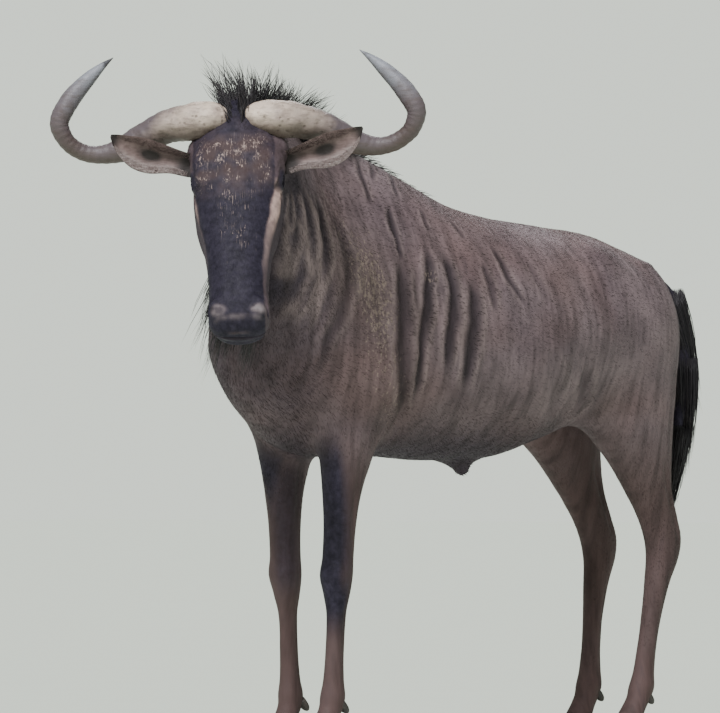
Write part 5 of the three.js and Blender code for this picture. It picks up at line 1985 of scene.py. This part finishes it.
    def _eye(self, finish: EyeFinish) -> Material:
        """A wet, dark brown eye with a level pupil."""
        material, s, out, position = self._new("eye_wet")
        iris, pupil, _ = s.parts(s.attribute("iris")[0])
        fibres = s.noise(position, 700.0, 3.0)
        brown = s.mix(fibres, finish.iris_dark, finish.iris_light)
        tone = s.mix(pupil, s.mix(iris, finish.white, brown), finish.pupil)
        self._paint(s, out, tone, s.fit(s.noise(position, 90.0), 0.3, 0.7, 0.05, 0.10))
        out.inputs["Coat Weight"].default_value = 1.0
        out.inputs["Coat Roughness"].default_value = 0.03
        return material

    def _ear(self, finish: EarFinish) -> Material:
        """The ears: dark behind, greyish pink inside, black at the upper rim, the tip and the root, with
        painted shade deep in the cup.
        """
        material, s, out, position = self._new("ear_hide")
        inner, dark, fringe = s.parts(s.attribute("inner")[0])
        mottle = s.noise(position, 60.0, 4.0)
        combed = s.drawn(position, (60.0, 60.0, 320.0), 3.0, 0.6)
        back = s.mix(mottle, finish.back, finish.back_light)
        lit = s.fit(s.plus(mottle, s.times(combed, 0.6)), 0.5, 1.05)
        tone = s.mix(inner, back, s.mix(lit, finish.inside, finish.inside_light))
        tone = s.mix(s.times(fringe, s.fit(combed, 0.4, 0.6, 0.4, 1.0)), tone, finish.fringe)
        tone = s.mix(dark, tone, finish.rim)
        self._paint(s, out, tone, s.fit(mottle, 0.3, 0.7, 0.6, 0.8))
        self._bump(s, out, s.plus(s.noise(position, 300.0, 3.0), combed), 0.55, 0.0014)
        return material

    def _floor(self, colour: Colour) -> Material:
        """A plain pale floor without gloss."""
        material, s, out, position = self._new("pale_floor")
        low, high = (tuple(share * c for c in colour) for share in (0.985, 1.015))
        s.put(out, "Base Color", s.mix(s.noise(position, 3.0, 2.0), low, high))
        out.inputs["Roughness"].default_value = 1.0
        out.inputs["Specular IOR Level"].default_value = 0.0
        return material


# The pieces.
@dataclass
class Skin:
    """The one skin over all of the flesh.

    Args:
        place: the part's shift.
        anatomy: the regions.
        most: the triangles it may have.
        across: the grid's runs along x, each with its start, end and step.
        aside: the same along y.
        upward: the same along z.
    """

    place: Place
    anatomy: Anatomy
    most: int = 196000
    across: tuple[Triple, ...] = (
        (-1236, -1140, 8.0), (-1140, -940, 7.5), (-940, -440, 10.5), (-440, -60, 6.2), (-60, 262, 5.6),
        (262, 300, 4.6), (300, 640, 3.5), (640, 730, 7.0),
    )
    aside: tuple[Triple, ...] = (
        (-290, -150, 9.0), (-150, -60, 6.5), (-60, 16, 9.0), (16, 50, 5.0), (50, 400, 3.7),
        (400, 450, 8.0),
    )
    upward: tuple[Triple, ...] = (
        (58, 150, 6.5), (150, 690, 10.0), (690, 852, 8.5), (852, 890, 5.0), (890, 1190, 3.8),
        (1190, 1270, 3.5), (1270, 1452, 4.4), (1452, 1470, 6.0),
    )

    def build(self) -> None:
        """Meshes the flesh, moves it by the relief, thins it, and works out normals and weights."""
        net = SurfaceNet(build_flesh(), (graded(*self.across), graded(*self.aside), graded(*self.upward)))
        net.settle(2)
        normals = vertex_normals(net.vertices, net.quads)
        weights = self.anatomy.weights(net.vertices)
        raised = net.vertices + normals * skin_relief(net.vertices, normals, weights)[:, None]
        log.info("skin: %d triangles before it is thinned", 2 * len(net.quads))
        self.vertices, self.triangles = thinned(raised, net.quads, self.most)
        self.normals = vertex_normals(self.vertices, self.triangles[:, [0, 1, 2, 2]])
        self.weights = self.anatomy.weights(self.vertices)
        log.info("skin: %d vertices, %d triangles", len(self.vertices), len(self.triangles))

    def make(self, finishes: Finishes) -> Object:
        """The skin as an object, with its markings."""
        made = make_object("skin", self.place.metres(self.vertices), self.triangles, finishes.skin)
        dress(made, markings(self.vertices, self.weights), self.weights, 1)
        return made


def dress(made: Object, marks: Marks, weights: Array, each: int) -> None:
    """Stores the markings and each part's share on a mesh, every point's values for so many vertices.

    Args:
        made: the object.
        marks: the markings at its points.
        weights: the regions' weights at its points.
        each: vertices a point.
    """
    body, _, head, _ = grouped(weights)
    shares = np.stack([body, head, 1 - body - head, np.ones_like(body)], -1)
    for name, values in (("marks", marks.coat), ("zones", marks.zones), ("parts", shares)):
        set_colours(made, name, np.repeat(values, each, axis=0))


@dataclass(frozen=True)
class TuftStyle:
    """The tufts of one piece: how many, how long and wide, and how far they stand out."""

    count: int
    length: float
    width: float
    lift: float


TUFTS = {
    "coat_head": TuftStyle(21500, 4.5, 0.9, 0.07),
    "coat_neck": TuftStyle(21500, 10.0, 1.5, 0.06),
    "coat_trunk_left": TuftStyle(21800, 10.0, 1.6, 0.05),
    "coat_trunk_right": TuftStyle(21800, 10.0, 1.6, 0.05),
    "coat_legs": TuftStyle(21500, 7.0, 1.3, 0.07),
}


class Coat:
    """Short fur as bent, tapered tufts rooted in the skin, along the lie of the coat.

    A tuft has seven points: three at its base, three at its middle and its tip. PATTERN is its faces, and
    CHART its own map, which is laid PATCH wide at the tuft's place in the skin's unwrap.
    """

    CHART = np.array([[0, 0], [0, 1], [0, 0.5], [0.5, 0.1], [0.5, 0.9], [0.5, 0.5], [1, 0.5]]) - 0.5
    PATTERN = np.array(
        [[0, 3, 5], [0, 5, 2], [2, 5, 4], [2, 4, 1], [1, 4, 3], [1, 3, 0], [3, 6, 5], [5, 6, 4], [4, 6, 3]]
    )
    PATCH = 0.003

    def __init__(self, skin: Skin) -> None:
        """Args: skin is the finished skin."""
        self.skin = skin
        self.rng = np.random.default_rng(SEED)
        v, self.triangles = skin.vertices, skin.triangles
        a, b, c = (v[self.triangles[:, k]] for k in range(3))
        across = np.cross(b - a, c - a)
        self.areas = np.linalg.norm(across, axis=1) / 2
        centres = (a + b + c) / 3
        region = skin.weights.argmax(1)[self.triangles[:, 0]]
        left = centres[:, 1] > 0
        trunk = (region == Region.TORSO.value) | (region == Region.TAIL.value)
        self.members = {
            "coat_head": region == Region.HEAD.value,
            "coat_neck": region == Region.NECK.value,
            "coat_trunk_left": trunk & left,
            "coat_trunk_right": trunk & ~left,
            "coat_legs": (region >= Region.FORELEG_LEFT.value) & (region <= Region.HINDLEG_RIGHT.value),
        }
        self.shaggy = self.standing(centres, unit(across), skin.weights[self.triangles[:, 0]])

    @staticmethod
    def standing(p: Array, normals: Array, weights: Array) -> Array:
        """Where the coat is longer: crest, belly, throat, rump, jaw and the backs of the legs."""
        body, neck, head, legs = grouped(weights)
        trunk = body + neck
        crest = smooth(normals[:, 2], 0.45, 0.9) * smooth(p[:, 2], 1120, 1240)
        belly = smooth(-normals[:, 2], 0.3, 0.85) * smooth(-p[:, 2], -840, -700)
        throat = smooth(-p[:, 2], -960, -820) * smooth(p[:, 0], 40, 170)
        rump = smooth(-p[:, 0], 1040, 1120) * smooth(-normals[:, 0], 0.2, 0.8)
        legs = legs * smooth(-normals[:, 0], 0.3, 0.9) * smooth(p[:, 2], 320, 520)
        u, _, w = HEAD.local(p)
        jaw = head * np.maximum(smooth(-w, 60, 120) * smooth(-u, -330, -200), smooth(-u, -40, 20))
        body_parts = [trunk * part for part in (crest, belly, throat, rump)]
        return np.clip(np.maximum.reduce([*body_parts, legs, jaw]), 0, 1)

    @staticmethod
    def bare(p: Array) -> Array:
        """Where no tufts grow: inside the lids, the nostrils and the mouth, and on the wet nose."""
        u, v, w = HEAD.local(p)
        near_eye = np.zeros(len(p), bool)
        for out in SIDES.values():
            near_eye |= np.linalg.norm(p - HEAD.on(EYE_AT, out), axis=1) < EYE_RADIUS + 5.0
        nostril = beside(u, v, w, NOSTRIL[:, :3]) < 10
        lips = (np.abs(w - mouth_level(u)) < 6) & (u > 392)
        return (near_eye | nostril | lips | (u > 498) | ((u > 440) & (np.abs(v) < 30) & (w > 0))) & (u > -80)

    def piece(self, name: str, finishes: Finishes) -> Object:
        """One coat piece with its markings and its OFBake map."""
        style, rng, skin = TUFTS[name], self.rng, self.skin
        pool = np.flatnonzero(self.members[name])
        wanted = self.areas[pool] * (1 + 0.9 * self.shaggy[pool])
        chosen = rng.choice(pool, style.count, p=wanted / wanted.sum())
        r1, r2 = np.sqrt(rng.uniform(size=style.count)), rng.uniform(size=style.count)
        shares = np.stack([1 - r1, r1 * (1 - r2), r1 * r2], -1)[..., None]
        corners = self.triangles[chosen]
        root = (skin.vertices[corners] * shares).sum(1)
        normal = unit((skin.normals[corners] * shares).sum(1))
        keep = ~self.bare(root)
        root, normal = root[keep], normal[keep]
        weights = (skin.weights[corners] * shares).sum(1)[keep]
        count = len(root)
        lie = fall(root, normal, weights)
        side = unit(np.cross(normal, lie) + rng.normal(0, 0.12, (count, 1)) * lie)
        lie = np.cross(side, normal)
        shaggy = self.standing(root, normal, weights)[:, None]
        length = style.length * rng.uniform(0.7, 1.25, (count, 1)) * (1 + 0.2 * shaggy)
        if name == "coat_head":
            u, _, w = HEAD.local(root)
            length = length * (0.6 + 0.7 * smooth(-u, -220, 20) + 0.7 * smooth(-w, 50, 110))[:, None]
        if name == "coat_legs":
            length = length * (0.6 + 0.4 * smooth(root[:, 2], 150, 600))[:, None]
        lift = (style.lift + 0.01 * shaggy) * rng.uniform(0.5, 1.5, (count, 1))
        width = style.width * rng.uniform(0.7, 1.2, (count, 1)) / 2
        middle = root + lie * length * 0.5 + normal * length * (lift * 0.75)
        tip = root + lie * length + normal * length * (lift * 0.8)
        base = root - normal * 0.5
        thick = width * 0.22
        rings = [
            base - side * width,
            base + side * width,
            base + normal * thick,
            middle - side * width * 0.8,
            middle + side * width * 0.8,
            middle + normal * thick,
            tip,
        ]
        vertices = np.stack(rings, 1).reshape(-1, 3)
        faces = (self.PATTERN[None] + len(rings) * np.arange(count)[:, None, None]).reshape(-1, 3)
        made = make_object(name, skin.place.metres(vertices), faces, finishes.coat)
        dress(made, markings(root, weights), weights, len(rings))
        uv = skin.anatomy.unwrap(root, weights.argmax(1))[:, None] + self.PATCH * self.CHART[None]
        set_uv(made, "OFBake", uv.reshape(-1, 2))
        return made


@dataclass(frozen=True)
class Horns:
    """Both horns: a tube through the horn's rows, knobbled at the boss and lightly ringed after it."""

    sides: int = 56
    steps: int = 190
    inset: float = 0.8
    ripples: int = 34

    def make(self, place: Place, finishes: Finishes) -> Object:
        """The horns as one mesh: the row's radius, plus knobs on the boss and ripples after it."""
        rows = spread(HORN, self.steps)
        share = np.linspace(0, 1, self.steps + 1)
        shell = Shell()
        for out in SIDES.values():
            path = POLL_LEVEL.place(rows[:, 2], out * rows[:, 0], rows[:, 1])
            rings = tube_rings(path, rows[:, 3] - self.inset, self.sides, LEVEL)
            flat = rings.reshape(-1, 3)
            away = unit((rings - path[:, None]).reshape(-1, 3))
            far = np.repeat(share, self.sides)
            boss = until(far, 0.20, 0.38)
            knobs = 2.6 * noise(flat, 24, 51) + 1.5 * noise(flat, 11, 52) + 0.8 * noise(flat, 5.5, 54)
            cracks = bell(noise(flat, 13, 55), 0.09) * smooth(noise(flat, 40, 56), -0.1, 0.4)
            bump = boss * (np.minimum(knobs, 2.2) - 1.9 - 1.3 * cracks)
            after = smooth(far, 0.2, 0.4) * until(far, 0.72, 0.95)
            ripple = np.sin(far * 2 * math.pi * self.ripples + 2.0 * noise(flat, 30, 57))
            bump += after * (0.9 * noise(flat, 26, 53) + 0.35 * ripple - 0.9)
            # Painted shade on the horn's underside, by how far its surface faces down.
            under = smooth(-away[:, 2], -0.25, 0.85) * (1 - 0.6 * smooth(far, 0.5, 0.6))
            marks = np.stack([far, under, boss, 1 + 0 * far], -1)
            shell.take((flat + away * bump[:, None]).reshape(rings.shape), marks.reshape(*rings.shape[:2], 4))
        return shell.make("horns", place, finishes.horn, "horn")


@dataclass(frozen=True)
class Ears:
    """Both ears: a leaf whose cup is depth x cos^2 of the turn, thin at its rim, with fringe hairs inside."""

    sides: int = 56
    steps: int = 60
    root_at: Triple = (58, 97, -84)
    tip_at: Triple = (84, 272, -12)
    thin: float = 0.4
    thick: float = 5.0
    inset: float = 0.6
    fringe: int = 2600

    def frame(self, out: int) -> Frame:
        """The ear's frame: along to its tip, its side, and the way its cup opens."""
        root = POLL_LEVEL.on(self.root_at, out)
        return Frame.of(root, POLL_LEVEL.on(self.tip_at, out) - root, LEVEL)

    def surface(self, out: int, along: Array, turn: Array) -> Array:
        """Points of one ear: half cos t to the side, and depth (1.15 cos^2 t - 1) + skin sin t upward.

        Args:
            out: 1 on the left, -1 on the right.
            along: shares of the way from root to tip.
            turn: angles round the section, the cup's inside from 0 to pi.

        Returns:
            Points in the row frame.
        """
        station = EAR[0][0] + along * (EAR[-1][0] - EAR[0][0])
        rows = row_at(EAR, station)
        c, sn = np.cos(turn), np.sin(turn)
        rise = rows[..., 3] * (1.15 * c * c - 1) + np.where(sn > 0, self.thin, self.thick) * sn
        return self.frame(out).place(station, out * rows[..., 1] + (rows[..., 2] - self.inset) * c, rise)

    @staticmethod
    def marks(out: int, along: Array, turn: Array) -> Array:
        """Masks: the inside, the dark rim, tip and root with painted shade in the cup, and the pale fringe of
        the lower rim.
        """
        c, sn = np.cos(turn), np.sin(turn)
        upper = out * c
        inner = smooth(sn + 0.55 * smooth(upper, 0.3, 0.9), 0.10, 0.45) * smooth(along, 0.14, 0.3)
        # Painted shade in the deep middle of the cup and under its upper rim near the root.
        cup_shade = 1.7 * blot(along - 0.53, 0.12, upper - 0.12, 0.34) * (sn > 0)
        cup_shade = np.maximum(cup_shade, 0.45 * until(along, 0.26, 0.50) * smooth(upper, -0.45, 0.25) * (sn > 0))
        rim = bell(sn + 0.42, 0.26) * smooth(upper, -0.1, 0.75)
        low_rim = 0.5 * bell(sn, 0.16) * (upper < 0)
        tip = smooth(along, 0.84, 0.96)
        root = until(along, 0.14, 0.30)
        fringe = inner * smooth(-upper, 0.15, 0.8) * until(along, 0.78, 0.92)
        dark = np.clip(np.maximum.reduce([cup_shade, rim, low_rim, tip, root]), 0, 1)
        return np.stack([inner, dark, fringe, 1 + 0 * inner], -1)

    def make(self, place: Place, finishes: Finishes) -> Object:
        """Both ears as one mesh."""
        along, turn = np.meshgrid(np.linspace(0, 1, self.steps + 1), around(self.sides), indexing="ij")
        shell = Shell()
        for out in SIDES.values():
            rings = self.surface(out, along.ravel(), turn.ravel()).reshape(*along.shape, 3)
            rings = rings + 0.35 * noise(rings.reshape(-1, 3), 9, 58).reshape(along.shape)[..., None] * LEVEL
            shell.take(rings, self.marks(out, along, turn))
        return shell.make("ears", place, finishes.ear, "inner")

    def make_fringe(self, place: Place, finishes: Finishes) -> Object:
        """The ears' own hairs: blades of five points and four faces, rooted at the rims and laid inward."""
        rng = np.random.default_rng(SEED + 9)
        pattern = np.array([[0, 1, 3], [1, 2, 3], [2, 0, 3], [0, 2, 1]])
        points, faces, marks = [], [], []
        for number, out in enumerate(SIDES.values()):
            count = self.fringe
            along = rng.uniform(0.10, 0.93, count)
            lower = rng.uniform(size=count) < 0.68
            c = np.where(lower, -1, 1) * out * rng.uniform(0.55, 0.99, count)
            turn = np.arccos(np.clip(c, -1, 1))
            root = self.surface(out, along, turn)
            at = self.frame(out)
            inward = -np.sign(c)[:, None] * at.side
            lie = unit(at.along * rng.uniform(0.5, 1.0, (count, 1)) + inward * 0.75 + at.rise * 0.28)
            lie = unit(lie + rng.normal(0, 0.12, (count, 3)))
            length = rng.uniform(7, 19, (count, 1)) * np.sin(math.pi * np.clip(along, 0.08, 0.95))[:, None]
            side = unit(np.cross(lie, at.rise)) * 0.42
            middle = root + lie * length * 0.55 + at.rise * 0.6
            tip = root + lie * length
            blade = np.stack([root - side, root + side, root + at.rise * 0.5, middle, tip], 1)
            first = 5 * (np.arange(count) + number * count)
            faces.append((pattern[None] + first[:, None, None]).reshape(-1, 3))
            points.append(blade.reshape(-1, 3))
            pale = np.where(lower, rng.uniform(0.3, 1, count), 0)
            marks.append(np.repeat(np.stack([np.ones(count), 0 * pale, pale, np.ones(count)], -1), 5, axis=0))
        vertices, faces = place.metres(np.concatenate(points)), np.concatenate(faces)
        made = make_object("ear_fringe", vertices, faces, finishes.ear)
        set_colours(made, "inner", np.concatenate(marks))
        return made


@dataclass(frozen=True)
class Eyes:
    """Both eyeballs: spheres whose pole looks outward, with a brown iris and a level, dark pupil."""

    rings: int = 32
    sides: int = 44
    inset: float = 0.4

    def make(self, place: Place, finishes: Finishes) -> Object:
        """The eyes as one mesh: centre + radius (axis cos p + level sin p cos t + third sin p sin t)."""
        polar = np.linspace(0.03, math.pi - 0.03, self.rings)
        turn = around(self.sides)
        shell = Shell()
        for out in SIDES.values():
            axis = unit(HEAD.side * out + HEAD.rise * 0.30 + HEAD.along * 0.12)
            level = unit(LEVEL - axis * (LEVEL @ axis))
            third = np.cross(axis, level)
            a, b = np.sin(polar)[:, None] * np.cos(turn), np.sin(polar)[:, None] * np.sin(turn)
            front = np.broadcast_to(np.cos(polar)[:, None], a.shape)
            ball = axis * front[..., None] + level * a[..., None] + third * b[..., None]
            pupil = until(np.hypot(a / 0.42, b / 0.2), 0.85, 1.05) * (front > 0)
            marks = np.stack([smooth(front, 0.62, 0.72), pupil, 0 * a, 1 + 0 * a], -1)
            shell.take(HEAD.on(EYE_AT, out) + ball * (EYE_RADIUS - self.inset), marks)
        return shell.make("eyes", place, finishes.eye, "iris")


@dataclass(frozen=True)
class Hooves:
    """All eight claws and the dewclaws above them."""

    sides: int = 40
    steps: int = 16
    length: float = 114
    half: float = 21
    ripple: float = 0.5

    def claw(self, toe: float, track: float, ahead: float, inner: int) -> Array:
        """One claw's rings: the heel stays, the toe draws back as it rises, the front half is narrowed."""
        t = np.linspace(0, 1, self.steps + 1)[:, None]
        turn = around(self.sides, 0.5)
        forward = (np.cos(turn) + 1) / 2
        worn = (1 - t) ** 6
        length = self.length - 38 * t - 4 * worn
        half = self.half - 3 * t - 1.2 * worn
        heel = toe - self.length + 10 * t + ahead + 2 * worn
        ringed = 1 - self.ripple * 0.02 * (1 - np.cos(2 * math.pi * 5 * t))
        across = inner * (self.half - 3 * t + 1.2) + half * ringed * (1 - 0.55 * forward**2.5) * np.sin(turn)
        height = np.broadcast_to(t * (CORONET - GAP), across.shape)
        return np.stack([heel + forward * length, track + across, height], -1)

    def make(self, place: Place, finishes: Finishes) -> Object:
        """The hooves as one mesh."""
        shell = Shell()
        s = np.linspace(0, 1, 9)
        for _, track, step, toe in LEGS.values():
            ahead = step * (1 - CORONET / LEG_TOP)
            back = toe - 122 + ahead
            for side in (-1, 1):
                shell.take(self.claw(toe, track, ahead, side))
                root = np.array([back + 14, track + side * 13, 118])
                tip = np.array([back - 8, track + side * 15, 96])
                radii = 10.5 * np.sqrt(np.maximum(0, 1 - 0.86 * s**3))
                shell.take(tube_rings(root + (tip - root) * s[:, None], radii, 14, LEFT))
        return shell.make("hooves", place, finishes.hoof)


# The stand and the camera.
@dataclass(frozen=True)
class View:
    """Where the photograph was taken from, found by laying the solids over it.

    Args:
        azimuth: degrees round the animal.
        elevation: degrees above level.
        distance: metres from the row frame's origin.
        focal: focal length in pixels.
        foot: the pixel at which that origin shows.
        size: the picture's width and height in pixels.
        film: the sensor's width in millimetres.
    """

    azimuth: float = 133.0
    elevation: float = 2.0
    distance: float = 18.0
    focal: float = 8182.0
    foot: tuple[float, float] = (314.0, 755.0)
    size: tuple[int, int] = (720, 713)
    film: float = 36.0


def make_camera(view: View, place: Place) -> None:
    """The photograph's camera: it looks straight at the middle of the frame, with no shift.

    Args:
        view: where it stands.
        place: the part's shift.
    """
    a, e = math.radians(view.azimuth), math.radians(view.elevation)
    back = np.array([math.sin(a) * math.cos(e), -math.cos(a) * math.cos(e), math.sin(e)])
    right = np.array([math.cos(a), math.sin(a), 0.0])
    up = np.cross(back, right)
    middle = np.array(view.size) / 2
    aim = unit(-back * view.focal + right * (middle[0] - view.foot[0]) + up * (view.foot[1] - middle[1]))
    x = unit(np.cross(aim, up))
    y = np.cross(x, aim)
    camera = bpy.data.objects.new("camera", bpy.data.cameras.new("camera"))
    turn = Matrix([[x[i], y[i], -aim[i]] for i in range(3)])
    camera.matrix_world = Matrix.Translation(Vector(place.shift + back * view.distance)) @ turn.to_4x4()
    camera.data.sensor_width = view.film
    camera.data.lens = view.film * view.focal / view.size[0]
    camera.data.clip_end = 200.0
    bpy.context.scene.collection.objects.link(camera)
    bpy.context.scene.camera = camera


@dataclass(frozen=True)
class Studio:
    """A wide pale floor, a pale surround, a broad soft key and a weak rim."""

    half: float = 60.0
    below: float = 0.0005
    surround: Colour = (0.80, 0.86, 0.77)
    floor: Colour = (0.72, 0.774, 0.693)
    glow: float = 0.36
    key_from: Triple = (0.72, 0.33, 0.90)
    key: float = 4.2
    rim_from: Triple = (-0.75, -0.55, 0.60)
    rim: float = 0.7
    softness: float = 24.0

    def backdrop(self) -> float:
        """The strength at which the surround looks like the far floor.

        That is floor x (suns / pi / surround + glow), a sun being its strength x its way's upward part.
        """
        suns = sum(power * unit(np.array(way))[2] for _, way, power in self.suns())
        return self.floor[1] * (suns / math.pi / self.surround[1] + self.glow)

    def suns(self) -> tuple[tuple[str, Triple, float], ...]:
        """The lights: name, the way they come from, and strength."""
        return ("key", self.key_from, self.key), ("rim", self.rim_from, self.rim)

    def make(self, finishes: Finishes) -> None:
        """Lays the floor, hangs the lights, and gives the camera a backdrop of the floor's own shade."""
        h, low = self.half, -self.below
        corners = np.array([[-h, -h, low], [h, -h, low], [h, h, low], [-h, h, low]])
        make_object("floor", corners, np.array([[0, 1, 2, 3]]), finishes.floor, False)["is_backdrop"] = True
        world = bpy.data.worlds.new("surround")
        world.use_nodes = True
        s = Shader(world.node_tree)
        background = world.node_tree.nodes["Background"]
        s.put(background, 0, self.surround)
        seen = s.add("ShaderNodeLightPath").outputs["Is Camera Ray"]
        s.put(background, 1, s.fit(seen, 0.0, 1.0, self.glow, self.backdrop()))
        bpy.context.scene.world = world
        for name, way, power in self.suns():
            light = bpy.data.lights.new(name, "SUN")
            light.angle, light.energy = math.radians(self.softness), power
            made = bpy.data.objects.new(name, light)
            made.rotation_mode = "QUATERNION"
            made.rotation_quaternion = (-Vector(way)).to_track_quat("-Z", "Y")
            bpy.context.scene.collection.objects.link(made)


FLESH_NODES = ("head", "neck", "torso", *LEGS)
MANE_STYLE = StrandStyle(84, 0.85, 6, 0.075, 7.0, 0.34, 1, 1.9)
BEARD_STYLE = StrandStyle(92, 0.75, 6, 0.045, 8.0, 0.30, 1, 1.4)
TAIL_STYLE = StrandStyle(200, 0.85, 6, 0.022, 5.0, 0.40, 0, 0.7)


def carry(made: Object, nodes: Sequence[str] = ()) -> None:
    """Fixes a piece to the part's one body and hides the nodes it stands for."""
    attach(made, "root")
    if nodes:
        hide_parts(*nodes)
    made.data.calc_loop_triangles()
    log.info("%s: %d triangles", made.name, len(made.data.loop_triangles))


def main() -> None:
    """Builds the whole scene."""
    logging.basicConfig(level=logging.INFO, format="%(message)s")
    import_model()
    solids_box = [list(corner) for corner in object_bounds()]
    place = Place.found()
    finishes = Finishes()
    skin = Skin(place, Anatomy())
    skin.build()
    carry(skin.make(finishes), FLESH_NODES)
    coat = Coat(skin)
    for name in TUFTS:
        carry(coat.piece(name, finishes))
    chance = Chance(SEED)
    mane, beard, tail = (kind.locks(chance) for kind in (Mane(), Beard(), Tassel()))
    carry(Hair("mane", mane, MANE_STYLE, 1).make(place, finishes))
    carry(Hair("beard", beard, BEARD_STYLE, 2).make(place, finishes))
    carry(Hair("tail_hair", tail, TAIL_STYLE, 3).make(place, finishes), ("tail",))
    carry(Horns().make(place, finishes), [f"horn_{side}" for side in SIDES])
    carry(Ears().make(place, finishes), [f"ear_{side}" for side in SIDES])
    carry(Ears().make_fringe(place, finishes))
    carry(Eyes().make(place, finishes), [f"eye_{side}" for side in SIDES])
    feet = [f"hoof_{limb}_{side}" for limb in ("fore", "hind") for side in SIDES]
    hooves = [f"{foot}_{claw}" for foot in feet for claw in ("outer", "inner")]
    carry(Hooves().make(place, finishes), hooves)
    Studio().make(finishes)
    make_camera(View(), place)
    looks_box = [list(corner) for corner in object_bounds()]


if __name__ == "__main__":
    main()
